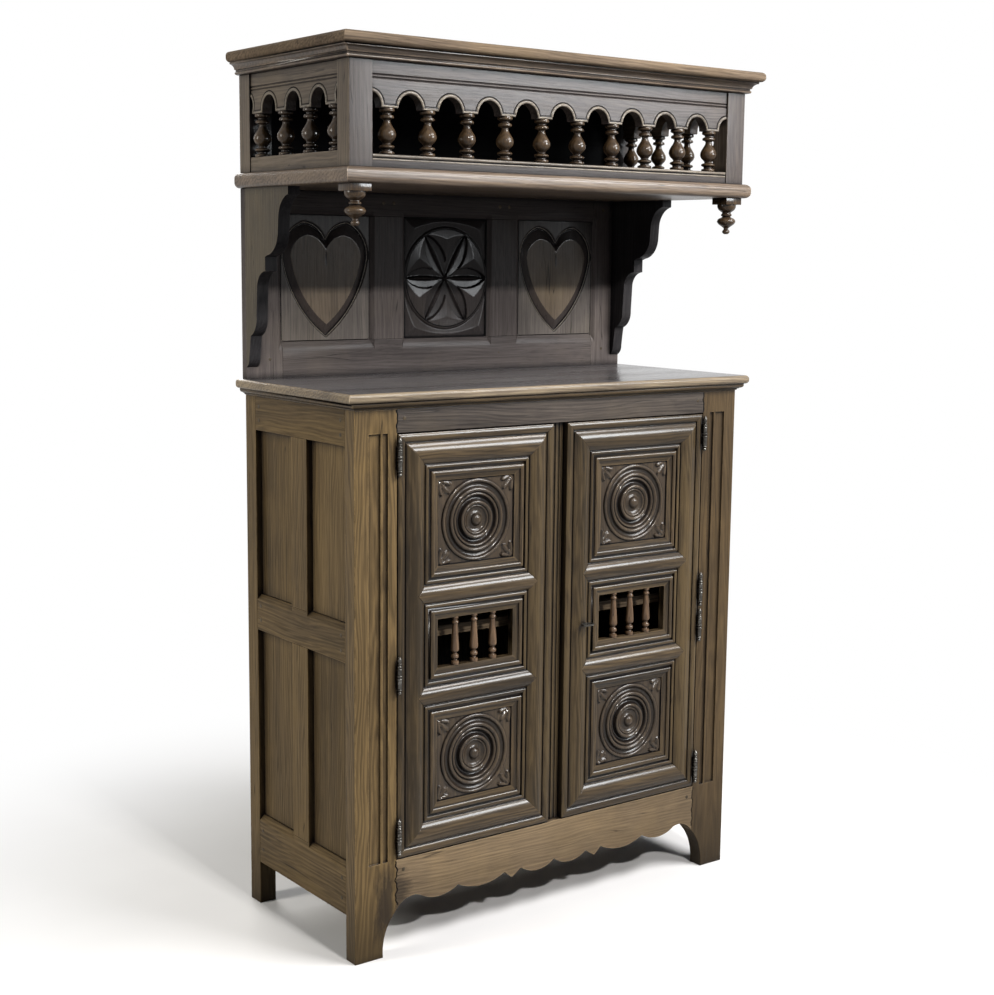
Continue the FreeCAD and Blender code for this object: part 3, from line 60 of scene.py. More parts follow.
class Graph:
    """Nodes of a material or a world, with short calls to add and link one."""

    def __init__(self, owner):
        owner.use_nodes = True
        self.owner = owner
        self.tree = owner.node_tree
        self.tree.nodes.clear()

    def add(self, kind, inputs=None, **settings):
        node = self.tree.nodes.new(kind)
        for key, value in settings.items():
            setattr(node, key, value)
        for key, value in (inputs or {}).items():
            if isinstance(value, bpy.types.NodeSocket):
                self.tree.links.new(value, node.inputs[key])
            else:
                node.inputs[key].default_value = value
        return node

    def math(self, operation, first, second=0.0, clamp=False):
        node = self.add("ShaderNodeMath", {0: first, 1: second}, operation=operation, use_clamp=clamp)
        return node.outputs[0]

    def scaled(self, value, factor):
        return self.math("MULTIPLY", value, factor)

    def vector(self, operation, first, second):
        return self.add("ShaderNodeVectorMath", {0: first, 1: second}, operation=operation).outputs[0]

    def length(self, vector):
        return self.add("ShaderNodeVectorMath", {0: vector}, operation="LENGTH").outputs["Value"]

    def spread(self, value, low, high, to_low=0.0, to_high=1.0, **settings):
        """Value carried from one range to another."""
        inputs = {"Value": value, "From Min": low, "From Max": high, "To Min": to_low, "To Max": to_high}
        return self.add("ShaderNodeMapRange", inputs, **settings).outputs[0]

    def mix(self, factor, first, second):
        return self.add("ShaderNodeMix", {0: factor, 6: first, 7: second}, data_type="RGBA").outputs[2]

    def noise(self, vector, stretch, detail=3.0, roughness=0.55, output="Fac"):
        """Noise; its stretch is one number, or one for each axis."""
        each = stretch if isinstance(stretch, tuple) else (stretch,) * 3
        inputs = {"Vector": self.vector("MULTIPLY", vector, each), "Scale": 1.0, "Detail": detail,
                  "Roughness": roughness}
        return self.add("ShaderNodeTexNoise", inputs).outputs[output]

    def ramp(self, value, stops):
        node = self.add("ShaderNodeValToRGB", {"Fac": value})
        ramp = node.color_ramp
        while len(ramp.elements) < len(stops):
            ramp.elements.new(0.5)
        for element, (position, colour) in zip(ramp.elements, stops):
            element.position = position
            element.color = (*colour, 1.0)
        return node.outputs["Color"]

    def hollow(self, reach, inside=False):
        """Openness of a place: to the room, or to the wood within, which is low along an outer edge."""
        node = self.add("ShaderNodeAmbientOcclusion", {"Distance": reach}, samples=4, inside=inside,
                        only_local=inside)
        return node.outputs["AO"]

    def bump(self, height, strength, distance):
        inputs = {"Height": height, "Strength": strength, "Distance": distance}
        return self.add("ShaderNodeBump", inputs).outputs[0]

    def place(self):
        return self.add("ShaderNodeTexCoord").outputs["Object"]

    def finish(self, inputs):
        shader = self.add("ShaderNodeBsdfPrincipled", inputs)
        self.add("ShaderNodeOutputMaterial", {"Surface": shader.outputs[0]})
        return self.owner


def tint(colour, factor):
    """Opaque colour, made darker or lighter."""
    return (*[c * factor for c in colour], 1.0)


# Oak. The order puts the grain's own axis last.
GRAIN_ORDER = {"x": (1, 2, 0), "y": (2, 0, 1), "z": (0, 1, 2)}
SEED_SHIFT = (0.37, 0.61, 1.93)
SWAY = (0.03, 0.03, 0.0)
RING_GAP = 0.0068
GRIME_AND_SHADE = (0.005, 0.0045, 0.006, 1.0)
ROT = (0.02, 0.015, 0.012, 1.0)
# Colour of the near-black painted shade inside the gallery.
GALLERY_SHADE = (0.004, 0.004, 0.006, 1.0)
WEAR_REACH = 0.0028
FOOT_DIRT_HEIGHT = (0.02, 0.17)
GALLERY_SHADE_DEPTH = (-0.19, -0.15)
GALLERY_SHADE_WIDTH = (0.495, 0.52)
# Heights over which the painted shade of the canopy darkens the hutch.
CANOPY_SHADE_HEIGHT = (1.37, 1.57)


def grain_vector(graph, apart, axis, shift):
    """Place with its third item along the grain, swaying a little from side to side."""
    turned = {i: apart[k] for i, k in enumerate(GRAIN_ORDER[axis])}
    grain = graph.vector("ADD", graph.add("ShaderNodeCombineXYZ", turned).outputs[0], shift)
    sway = graph.noise(grain, (3.0, 3.0, 2.2), 2.0, 0.5, "Color")
    sway = graph.vector("SUBTRACT", sway, (0.5, 0.5, 0.5))
    return graph.vector("ADD", grain, graph.vector("MULTIPLY", sway, SWAY))


def ring_bands(graph, grain):
    """Wave of the yearly rings, from -1 to 1."""
    ring = graph.length(graph.vector("MULTIPLY", grain, (1.0, 1.0, 0.0)))
    along = graph.add("ShaderNodeSeparateXYZ", {0: grain}).outputs[2]
    ring = graph.math("ADD", ring, graph.scaled(along, 0.03))
    ring = graph.math("ADD", ring, graph.scaled(graph.noise(grain, (22.0, 22.0, 2.5)), 0.035))
    return graph.math("SINE", graph.scaled(ring, 2 * math.pi / RING_GAP))


def stain_share(graph, place, grain, stain):
    """Rotten patch with a ragged edge; a stain is its middle and half size in x and z, and its strength."""
    x, z, half_x, half_z, strength = stain
    off = graph.vector("SUBTRACT", place, (x, 0.0, z))
    off = graph.length(graph.vector("MULTIPLY", off, (1 / half_x, 0.0, 1 / half_z)))
    ragged = graph.math("SUBTRACT", graph.noise(grain, (60.0, 60.0, 14.0), 4.0, 0.7), 0.5)
    return graph.spread(graph.math("ADD", off, graph.scaled(ragged, 2.2)), 0.5, 1.15, strength, 0.0)


def soot_share(graph, apart):
    """Painted shade inside the gallery, away from its front and its ends."""
    across = graph.spread(graph.math("ABSOLUTE", apart[0]), *GALLERY_SHADE_WIDTH, 0.95, 0.0)
    return graph.math("MULTIPLY", graph.spread(apart[1], *GALLERY_SHADE_DEPTH), across)


def oak(name, axis, seed, middle, rough=0.4, coat=0.12, coat_rough=0.17, shine=0.08, figure=0.12, pith=None,
        worn=0.6, contrast=1.0, grime=0.95, soot=False, dents=1.1, reach=0.018, smoked=0.0, stain=None):
    """Old waxed oak, grain along one axis. The seed shifts the figure; a pith near the face gives it flames."""
    graph = Graph(bpy.data.materials.new(name))
    dark = tuple(c * 0.48 for c in middle)
    light = (middle[0] * 1.6, middle[1] * 1.62, middle[2] * 1.55)
    ochre = (light[0] * 1.15, light[1] * 1.1, light[2] * 0.95, 1.0)
    place = graph.place()
    apart = graph.add("ShaderNodeSeparateXYZ", {0: place}).outputs
    shift = (-pith[0], -pith[1], 0.0) if pith else tuple(step * seed for step in SEED_SHIFT)
    grain = grain_vector(graph, apart, axis, shift)
    streak = graph.noise(grain, (210.0, 210.0, 3.6), 4.0, 0.62)
    broad = graph.noise(grain, (9.0, 9.0, 1.1))
    pores = graph.spread(graph.noise(grain, (760.0, 760.0, 15.0), 2.0, 0.5), 0.58, 0.68)
    patch = graph.noise(place, 5.0, 4.0, 0.6)
    split = graph.math("ABSOLUTE", graph.math("SUBTRACT", graph.noise(grain, (26.0, 26.0, 0.8), 2.0), 0.5))
    split = graph.math("MULTIPLY", graph.spread(split, 0.0, 0.005, 1.0, 0.0), graph.spread(patch, 0.5, 0.56))

    # The wood's own figure.
    mixed = graph.scaled(ring_bands(graph, grain), 0.5 * figure * contrast)
    for part in (streak, broad):
        mixed = graph.math("ADD", mixed, graph.scaled(graph.math("SUBTRACT", part, 0.5), 0.62 * contrast))
    colour = graph.ramp(graph.math("ADD", mixed, 0.5), [(0.34, dark), (0.5, middle), (0.66, light)])

    # Pores, and what age and use did: patches, cracks, rubbed edges, dirt at the feet, and dirt with painted shade
    # in the hollows.
    edge = graph.spread(graph.hollow(WEAR_REACH, True), 0.5, 0.95, worn, 0.0)
    rubbed = graph.math("MULTIPLY", edge, graph.spread(graph.noise(place, 38.0), 0.36, 0.56))
    layers = [(graph.scaled(pores, 0.45), tint(middle, 0.3)),
              (graph.spread(patch, 0.5, 0.72, 0.0, 0.32), ochre),
              (graph.spread(graph.noise(place, 2.3), 0.5, 0.74, 0.0, 0.5), tint(dark, 0.8)),
              (graph.scaled(split, 0.75), GRIME_AND_SHADE),
              (rubbed, tint(light, 1.5)),
              # Hollows darker: dirt there, and painted shade.
              (graph.spread(graph.hollow(reach), 0.48, 0.96, grime, 0.0), GRIME_AND_SHADE),
              (graph.spread(apart[2], *FOOT_DIRT_HEIGHT, 0.7, 0.0), tint(dark, 0.6))]
    # Painted shade inside the gallery.
    if soot:
        layers.append((soot_share(graph, apart), GALLERY_SHADE))
    if stain:
        layers.append((stain_share(graph, place, grain, stain), ROT))
    # Painted shade cast by the canopy: darker upwards.
    if smoked:
        layers.append((graph.spread(apart[2], *CANOPY_SHADE_HEIGHT, 0.0, smoked), GRIME_AND_SHADE))
    for share, paint in layers:
        colour = graph.mix(share, colour, paint)

    roughness = graph.spread(broad, 0.3, 0.7, rough - 0.08, rough + 0.1)
    roughness = graph.math("ADD", roughness, graph.scaled(pores, 0.12), clamp=True)
    height = graph.math("SUBTRACT", graph.scaled(streak, 0.5), graph.scaled(pores, 0.6))
    height = graph.math("ADD", height, graph.scaled(graph.noise(place, 45.0), dents))
    height = graph.math("SUBTRACT", height, split)
    return graph.finish({"Base Color": colour, "Roughness": roughness, "Normal": graph.bump(height, 0.35, 0.0009),
                         "Coat Weight": coat, "Coat Roughness": coat_rough, "Specular IOR Level": shine})


def iron(name):
    """Dark wrought iron, rubbed bright where hands and pins touch it."""
    graph = Graph(bpy.data.materials.new(name))
    patch = graph.noise(graph.place(), 90.0, 5.0, 0.65)
    colour = graph.ramp(patch, [(0.3, (0.03, 0.027, 0.023)), (0.55, (0.085, 0.08, 0.072)),
                                (0.75, (0.24, 0.23, 0.21))])
    dirt = graph.spread(graph.hollow(0.006), 0.3, 0.9, 0.85, 0.0)
    colour = graph.mix(dirt, colour, (0.012, 0.01, 0.009, 1.0))
    roughness = graph.spread(patch, 0.3, 0.75, 0.36, 0.18)
    return graph.finish({"Base Color": colour, "Roughness": roughness, "Normal": graph.bump(patch, 0.25, 0.0004),
                         "Metallic": 0.9})


BOARD_TONES = (1.0, 0.88, 1.1)


def family(name, middle, variants=2, **looks):
    """Boards of one tone: a material for each run of the grain, made when first needed."""
    made = {}

    def pick(axis, turn):
        which = turn % variants
        if (axis, which) not in made:
            seed = 1.7 * which + len(name) * 0.9
            tone = tuple(c * BOARD_TONES[which] for c in middle)
            made[axis, which] = oak(f"{name}_{axis}{which}", axis, seed, tone, **looks)
        return made[axis, which]
    return pick


_, post_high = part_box("front_post_left")
POST_STAIN = (post_high.x - 0.026, 0.1, 0.027, 0.1, 0.8)
APRON_STAIN = (post_high.x + 0.002, 0.14, 0.03, 0.05, 0.7)
FRAME = family("oak_frame", (0.095, 0.066, 0.036), 3)
SIDE = family("oak_side", (0.123, 0.0845, 0.042), 3, coat=0.05, rough=0.46, shine=0.05, contrast=0.85, reach=0.026)
LEFT_POST = family("oak_left_post", (0.147, 0.098, 0.044), 1, coat=0.1, rough=0.44, figure=0.3, contrast=0.5,
                   pith=(-0.462, -0.15), worn=1.0, stain=POST_STAIN)
RIGHT_POST = family("oak_right_post", (0.09, 0.06, 0.03), 1, figure=0.2, contrast=0.5, pith=(0.47, -0.12))
STILE = family("oak_door_stile", (0.066, 0.045, 0.022), 3, coat=0.25, coat_rough=0.2, rough=0.36, dents=2.0,
               contrast=1.35, reach=0.024)
DOOR = family("oak_door", (0.068, 0.046, 0.024), 3, coat=0.4, rough=0.36, shine=0.05, dents=3.2, contrast=1.35,
              reach=0.03)
APRON = family("oak_apron", (0.222, 0.16, 0.096), 1, figure=0.2, contrast=0.5, stain=APRON_STAIN)
HEAD = family("oak_head_rail", (0.068, 0.056, 0.048), 1)
# The canopy oak's cool grey cast is a painted sheen; the gallery's side faces take a warmer, lighter copy, toned
# for the light there.
CANOPY = family("oak_canopy", (0.06, 0.049, 0.045), 3, coat=0.1, soot=True, contrast=0.7)
CANOPY_SIDE = family("oak_canopy_side", (0.117, 0.094, 0.074), 2, coat=0.08, contrast=0.7)
TOP = family("oak_top", (0.15, 0.112, 0.08), 2, coat=0.0, rough=0.65, shine=0.04, worn=0.8)
CANOPY_EDGE = family("oak_canopy_edge", (0.135, 0.1, 0.074), 2, coat=0.3, worn=0.8)
# The hutch oak's grey-blue cast is a painted sheen.
HUTCH = family("oak_hutch", (0.103, 0.088, 0.084), 3, coat=0.04, shine=0.03, rough=0.5, contrast=0.6, figure=0.05,
               smoked=0.55)
CONSOLE = family("oak_console", (0.076, 0.063, 0.046), 1, coat=0.04, contrast=0.6)
# Near-black inner faces of the consoles: painted shade.
SHADED_INNER = family("oak_console_inner", (0.03, 0.028, 0.03), 1, coat=0.04, shine=0.03, contrast=0.6)
WORKTOP = family("oak_worktop", (0.077, 0.072, 0.075), 1, coat=0.35, coat_rough=0.1, rough=0.28, shine=0.2)
# Light nose of the worktop: wear, and a painted highlight.
NOSE = family("oak_nose", (0.21, 0.165, 0.115), 1, coat=0.2, worn=0.9)
RAW = family("oak_plain", (0.15, 0.11, 0.072), 1, coat=0.0, rough=0.7, grime=0.8)
# Near-black front of the gallery's back board: painted shade.
SHADE = family("oak_gallery_back", (0.02, 0.018, 0.02), 1, coat=0.0, rough=0.7, shine=0.05, soot=True)
CARVED_OAK = oak("oak_carved", "z", 21.7, (0.062, 0.043, 0.026), rough=0.28, coat=0.4, coat_rough=0.14, worn=0.5,
                 contrast=0.7, grime=1.0, reach=0.03)
HEART_LOOKS = {"rough": 0.34, "shine": 0.03, "figure": 0.04}
HEART_OAK = oak("oak_heart", "z", 25.1, (0.18, 0.142, 0.106), coat=0.08, worn=0.4, contrast=0.6, smoked=0.6,
                **HEART_LOOKS)
FIELD_OAK = oak("oak_heart_field", "z", 25.9, (0.14, 0.123, 0.112), coat=0.1, worn=0.4, contrast=0.6, smoked=0.75,
                **HEART_LOOKS)
BAND_OAK = oak("oak_heart_band", "z", 26.6, (0.07, 0.057, 0.053), coat=0.1, worn=0.3, contrast=0.4, smoked=0.6,
               **HEART_LOOKS)
ROSETTE_OAK = oak("oak_rosette", "z", 28.4, (0.05, 0.043, 0.042), rough=0.26, coat=0.075, coat_rough=0.2,
                  shine=0.03, worn=1.0, contrast=0.4, figure=0.03, reach=0.03, smoked=0.5)
SLIM_OAK = oak("oak_window_spindle", "z", 33.1, (0.115, 0.07, 0.04), rough=0.28, coat=0.45, coat_rough=0.13,
               worn=0.3, grime=0.7)
TURNED_OAK = oak("oak_turned", "z", 31.3, (0.058, 0.036, 0.019), rough=0.28, coat=0.32, coat_rough=0.13, worn=0.3)
BEAD_OAK = oak("oak_bead", "x", 35.9, (0.16, 0.136, 0.11), rough=0.34, coat=0.2, worn=0.2, grime=0.5)
# Near-black strips laid in cuts and gaps: painted shade, with the dirt in them.
LINE_OAK = oak("oak_line", "x", 37.3, (0.004, 0.0035, 0.0035), rough=0.6, coat=0.0, shine=0.05, worn=0.0)
PEG_OAK = oak("oak_peg", "y", 41.0, (0.065, 0.05, 0.033), rough=0.45, coat=0.1, worn=0.2, grime=0.7)
IRON = iron("dark_iron")
PLAIN_BACK = RAW("z", 0)


# CAD nodes: softened edges, and a material for each board by the run of its grain.

def islands(mesh):
    """Label of each polygon's separate solid, and each solid's corners."""
    spots = np.array([vertex.co for vertex in mesh.vertices])
    _, welded = np.unique(np.round(spots * 1e5).astype(np.int64), axis=0, return_inverse=True)
    welded = welded.reshape(-1)
    parent = np.arange(welded.max() + 1)

    def root(i):
        while parent[i] != i:
            parent[i] = parent[parent[i]]
            i = parent[i]
        return i

    for polygon in mesh.polygons:
        first = root(welded[polygon.vertices[0]])
        for vertex in polygon.vertices[1:]:
            parent[root(welded[vertex])] = first
    of_vertex = np.array([root(k) for k in welded])
    of_polygon = of_vertex[[polygon.vertices[0] for polygon in mesh.polygons]]
    corners = {}
    for label in np.unique(of_polygon):
        mine = spots[of_vertex == label]
        corners[label] = (mine.min(0), mine.max(0))
    return of_polygon, corners


def special_faces(name, normals):
    """Faces that differ from the rest of a node, as masks and materials."""
    side = normals[:, 0]
    # Side faces of the gallery: a lighter, warmer copy of its oak, toned for the light there.
    if name in ("gallery_sills", "gallery_posts", "arcade_left", "arcade_right"):
        yield np.abs(side) > 0.7, CANOPY_SIDE("z" if name == "gallery_posts" else "y", 0)
    # Inner faces of the consoles: painted shade.
    if name.startswith("console"):
        outer = side < -0.7 if name.endswith("left") else side > 0.7
        yield ~outer, SHADED_INNER("z", 0)
    if name in ("gallery_back_board", "gallery_posts") or name.startswith("hutch"):
        yield normals[:, 1] > 0.5, RAW("x", 0)
    # Nose of the worktop: wear, and a painted highlight.
    if name == "worktop":
        yield np.abs(normals[:, 2]) <= 0.94, NOSE("x", 0)


EDGE_WIDTH = 0.0012
EDGE_ANGLE = math.radians(38)
WELD_REACH = 0.00002


def soften(node):
    """Narrow round edges, and shading that keeps the flats flat."""
    node.modifiers.new("weld", "WELD").merge_threshold = WELD_REACH
    soft = node.modifiers.new("edges", "BEVEL")
    soft.width = EDGE_WIDTH
    soft.segments = 2
    soft.limit_method = "ANGLE"
    soft.angle_limit = EDGE_ANGLE
    soft.use_clamp_overlap = True
    soft.loop_slide = False
    node.modifiers.new("shading", "WEIGHTED_NORMAL").keep_sharp = False


def dress(name, kind):
    """Give a CAD node its materials, board by board. Mitred mouldings change at their mitres."""
    mesh = nodes[name].data
    mesh.materials.clear()
    of_polygon, corners = islands(mesh)
    index_of = np.zeros(len(mesh.polygons), np.int32)
    spots = np.array([polygon.center for polygon in mesh.polygons])
    normals = np.array([polygon.normal for polygon in mesh.polygons])
    slots = []
    order = sorted(corners, key=lambda label: tuple(np.round(corners[label][0], 4)))
    for turn, label in enumerate(order, sum(map(ord, name))):
        low, high = corners[label]
        mine = of_polygon == label
        runs = {"xyz"[int(np.argmax(high - low))]: mine}
        if name.endswith("mouldings"):
            away = np.abs(spots - (low + high) / 2) / (high - low)
            upright = away[:, 0] > away[:, 2]
            runs = {"x": mine & ~upright, "z": mine & upright}
        for axis, some in runs.items():
            material = kind(axis, turn)
            if material not in slots:
                slots.append(material)
            index_of[some] = slots.index(material)
    for some, material in special_faces(name, normals):
        index_of[some] = len(slots)
        slots.append(material)
    for material in slots:
        mesh.materials.append(material)
    mesh.polygons.foreach_set("material_index", index_of)
    mesh.polygons.foreach_set("use_smooth", np.ones(len(mesh.polygons), bool))
    soften(nodes[name])


def use_iron(axis, turn):
    return IRON


# A node takes the first wood with a word that its name starts with.
WOODS = [
    (LEFT_POST, "front_post_left"), (RIGHT_POST, "front_post_right"), (APRON, "front_apron"),
    (HEAD, "front_head_rail"), (SIDE, "side_", "back_post"), (CONSOLE, "console"),
    (use_iron, "left_door_barrels", "right_door_barrels", "hinge_posts", "key", "lock_", "slide_bolt"),
    (STILE, "left_door_stiles", "right_door_stiles", "centre_stile"), (DOOR, "left_door", "right_door"),
    (WORKTOP, "worktop"), (SHADE, "gallery_back_board"), (CANOPY, "gallery", "arcade"),
    (CANOPY_EDGE, "canopy", "cornice"), (TOP, "top_board"), (HUTCH, "hutch"),
    (RAW, "floor_boards", "shelf", "cleats", "back_"), (FRAME, ""),
]
for name in nodes:
    dress(name, next(wood for wood, *starts in WOODS if name.startswith(tuple(starts))))


# Mesh helpers for the turned and carved pieces.

def make(name, verts, faces, material, body, slot, smooth_angle, stands_for=()):
    """Mesh object in place, riding on a CAD body."""
    mesh = bpy.data.meshes.new(name)
    mesh.from_pydata(verts, [], faces)
    mesh.validate()
    mesh.materials.append(material)
    work = bmesh.new()
    work.from_mesh(mesh)
    bmesh.ops.recalc_face_normals(work, faces=work.faces)
    work.to_mesh(mesh)
    work.free()
    mesh.shade_smooth()
    mesh.set_sharp_from_angle(angle=math.radians(smooth_angle))
    piece = bpy.data.objects.new(name, mesh)
    scene.collection.objects.link(piece)
    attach(piece, body)
    if stands_for:
        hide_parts(*stands_for)
    return piece


def rounded(profile, across, up, steps):
    """Smooth (radius, height) line through a profile, scaled; a third item marks a sharp arris."""
    points = [np.array((p[0] * across, p[1] * up), float) for p in profile]
    sharp = [len(p) > 2 for p in profile]
    line = [points[0]]
    for i in range(len(points) - 1):
        a, b = points[i], points[i + 1]
        before = a - (b - a) if i == 0 or sharp[i] else points[i - 1]
        after = b + (b - a) if i == len(points) - 2 or sharp[i + 1] else points[i + 2]
        for k in range(1, steps + 1):
            t = k / steps
            spot = 0.5 * ((2 * a) + (b - before) * t + (2 * before - 5 * a + 4 * b - after) * t * t
                          + (3 * a - before - 3 * b + after) * t ** 3)
            line.append(np.array([max(spot[0], 0.0), spot[1]]))
    return line


def ring_faces(rings, sides):
    """Faces between rings of vertices, and a cap at each end."""
    grid = np.arange(rings * sides).reshape(rings, sides)
    turned = np.roll(grid, -1, axis=1)
    quads = np.stack([grid[:-1], turned[:-1], turned[1:], grid[1:]], -1).reshape(-1, 4)
    return [*quads.tolist(), grid[0].tolist(), grid[-1].tolist()]


LATHE_SIDES = 40
LEAST_RADIUS = 1e-5


def lathe(line, origin, sides=LATHE_SIDES):
    """Turned solid about an upright axis."""
    x, y, z = origin
    angles = [2 * math.pi * k / sides for k in range(sides)]
    rings = [(max(radius, LEAST_RADIUS), height) for radius, height in line]
    verts = [(x + r * math.cos(a), y + r * math.sin(a), z + h) for r, h in rings for a in angles]
    return verts, ring_faces(len(line), sides)


def gather(parts):
    """One list of vertices and faces from several."""
    verts = []
    faces = []
    for some_verts, some_faces in parts:
        faces += [[len(verts) + k for k in face] for face in some_faces]
        verts += some_verts
    return verts, faces


def block(low, high, soft=EDGE_WIDTH):
    """Box with rounded edges."""
    work = bmesh.new()
    bmesh.ops.create_cube(work, size=1.0)
    size = Vector(high) - Vector(low)
    middle = (Vector(high) + Vector(low)) / 2
    for vert in work.verts:
        vert.co = middle + vert.co * size
    bmesh.ops.bevel(work, geom=work.edges[:], offset=soft, segments=2, affect="EDGES", profile=0.6)
    work.verts.index_update()
    verts = [tuple(v.co) for v in work.verts]
    faces = [tuple(v.index for v in f.verts) for f in work.faces]
    work.free()
    return verts, faces


def solids(name):
    """Lowest and highest corner of each solid of a node, from left to right and front to back."""
    _, corners = islands(nodes[name].data)
    return sorted(corners.values(), key=lambda pair: tuple(np.round(pair[0], 3)))


def turnings(node, profile, radius, sides=LATHE_SIDES, top=0.0):
    """A turned solid for each solid of a node, under a square block where it has a top."""
    parts = []
    for low, high in solids(node):
        middle = (low + high) / 2
        tall = high[2] - low[2] - top
        line = rounded(profile, radius * PERCENT, tall * PERCENT, 4)
        parts.append(lathe(line, (middle[0], middle[1], low[2]), sides))
        if top:
            parts.append(block((low[0], low[1], high[2] - top), high))
    return gather(parts)


# Turned balusters, pendant finials and window spindles; profiles in per cent of the largest radius and the height.
BALUSTER_RADIUS = 0.0186
BALUSTER = [(80, 0, 1), (84, 3), (80, 6.2, 1), (56, 7.8), (54, 11), (70, 13, 1), (83, 15), (84, 17.8),
            (72, 20, 1), (50, 21.5), (46, 24), (58, 27.5), (84, 33), (98, 39), (100, 43), (95, 49), (78, 56),
            (58, 62.5), (44, 68), (38, 74), (50, 76.5, 1), (75, 78.5), (77, 81.5), (72, 84.5, 1), (52, 86.2),
            (50, 89.5), (66, 91.5, 1), (83, 93.5), (84, 97), (80, 100, 1)]
DROP_RADIUS = 0.021
DROP_BLOCK = 0.015
DROP = [(0, 0), (22, 0.6), (38, 5), (42, 9), (36, 13.5), (26, 16.5, 1), (27, 20), (45, 25), (82, 33), (100, 40),
        (102, 45), (88, 52), (58, 56.5), (44, 60, 1), (56, 62), (60, 66), (50, 70, 1), (48, 73), (62, 76.5),
        (86, 82), (100, 89), (104, 95, 1), (104, 100, 1)]
SLIM_RADIUS = 0.0095
SLIM_SIDES = 28
SLIM = [(92, 0, 1), (96, 3.5), (90, 7, 1), (55, 8.5), (50, 11), (80, 13.5), (90, 16.5), (80, 20), (50, 22.5),
        (52, 25), (86, 27.5, 1), (98, 31), (95, 40), (78, 60), (60, 80), (55, 84), (74, 85.5, 1), (78, 88),
        (70, 90.5, 1), (50, 92), (56, 94.5), (74, 96.5), (74, 100, 1)]
for where, node in (("front", "front_spindles"), ("left", "side_spindles_left"), ("right", "side_spindles_right")):
    make(f"gallery_balusters_{where}", *turnings(node, BALUSTER, BALUSTER_RADIUS), TURNED_OAK, "carcass",
         "oak_frame", 50, (node,))
make("turned_finials", *turnings("finials", DROP, DROP_RADIUS, top=DROP_BLOCK), TURNED_OAK, "carcass", "oak_frame",
     45, ("finials",))
for side in DOOR_SIDES:
    node = f"{side}_door_spindles"
    make(f"{side}_window_spindles", *turnings(node, SLIM, SLIM_RADIUS, SLIM_SIDES), SLIM_OAK, f"{side}_door",
         "oak_frame", 50, (node,))


# Carved door panels: a turned roundel, and a three-lobed leaf in each corner. The roundel's profile is in per cent
# of its radius and of the relief; a lobe is its tilt, length and half width.
ROUNDEL_RELIEF = 0.0074
ROUNDEL_SIDES = 240
CORNER_STEPS = 28
PANEL_DEPTH = 0.014
PANEL_MARGIN = 0.0285
ROUNDEL = [(0, 95), (5, 92), (10, 66), (13, 20), (14.5, -20, 1), (18, -50), (23, -62), (28, -42), (30, -20, 1),
           (32, 12), (34.5, 18), (36, 2, 1), (38, 42), (42, 68), (45.5, 45), (46.5, -5, 1), (49, -75),
           (52.5, -90), (56, -60), (57.5, -25, 1), (60, 22), (63, 34), (65.5, 12), (66.5, -5, 1), (69, 42),
           (72.5, 66), (76.5, 45), (78, -5, 1), (81, -45), (84.5, -52), (88, -30), (89.5, -10, 1), (91.5, 34),
           (95, 50), (98.5, 30), (100, -15, 1)]
LOBES = ((0.0, 0.036, 0.0062), (0.55, 0.031, 0.0056), (-0.55, 0.031, 0.0056))
LOBE_START = 0.003
LOBE_END = 0.22
LEAF_RELIEF = 0.0046
LEAF_GROUND = -0.0008


def leaf_height(x, z, half_x, half_z):
    """Lobes that fan out of each corner outside the roundel, full at their ends."""
    corner_x = np.abs(x) - half_x
    corner_z = np.abs(z) - half_z
    rise = np.zeros_like(x)
    for tilt, length, wide in LOBES:
        angle = math.radians(225) + tilt
        along = corner_x * math.cos(angle) + corner_z * math.sin(angle) - LOBE_START
        across = -corner_x * math.sin(angle) + corner_z * math.cos(angle)
        share = np.clip(along / length, 0, 1)
        width = wide * np.sqrt(share) * np.sqrt(np.clip((1 - share) / LOBE_END, 0, 1)) + TINY
        inside = np.clip(1 - (across / width) ** 2, 0, 1) * (along > 0) * (along < length)
        rise = np.maximum(rise, inside ** 0.6 * (0.35 + 0.65 * share))
    return rise


def roundel_panel(low, high):
    """Front, edges and back of one panel."""
    face = high[1] - PANEL_DEPTH
    half_x, _, half_z = (high - low) / 2
    middle = (low + high) / 2
    radius = min(half_x, half_z) - PANEL_MARGIN
    sides = ROUNDEL_SIDES
    angles = np.arange(sides) * 2 * np.pi / sides
    cosines = np.cos(angles)
    sines = np.sin(angles)
    line = rounded(ROUNDEL, radius * PERCENT, ROUNDEL_RELIEF * PERCENT, 3)
    rings = [(np.full(sides, max(r, LEAST_RADIUS)), np.full(sides, face - h)) for r, h in line]
    reach = np.minimum(half_x / np.maximum(np.abs(cosines), TINY), half_z / np.maximum(np.abs(sines), TINY))
    for k in range(1, CORNER_STEPS):
        r = radius + (reach - radius) * k / CORNER_STEPS
        lift = leaf_height(r * cosines, r * sines, half_x - PANEL_MARGIN, half_z - PANEL_MARGIN)
        rings.append((r, face - np.where(lift > 0, LEAF_RELIEF * lift, LEAF_GROUND)))
    rings += [(reach, np.full(sides, face)), (reach, np.full(sides, high[1]))]
    verts = [(middle[0] + r[k] * cosines[k], y[k], middle[2] + r[k] * sines[k])
             for r, y in rings for k in range(sides)]
    return verts, ring_faces(len(rings), sides)


for side in DOOR_SIDES:
    node = f"{side}_door_panels"
    parts = [roundel_panel(low, high) for low, high in solids(node)]
    make(f"{side}_carved_panels", *gather(parts), CARVED_OAK, f"{side}_door", "oak_panel", 38, (node,))


# Carved hutch panels, each a fine field of heights.

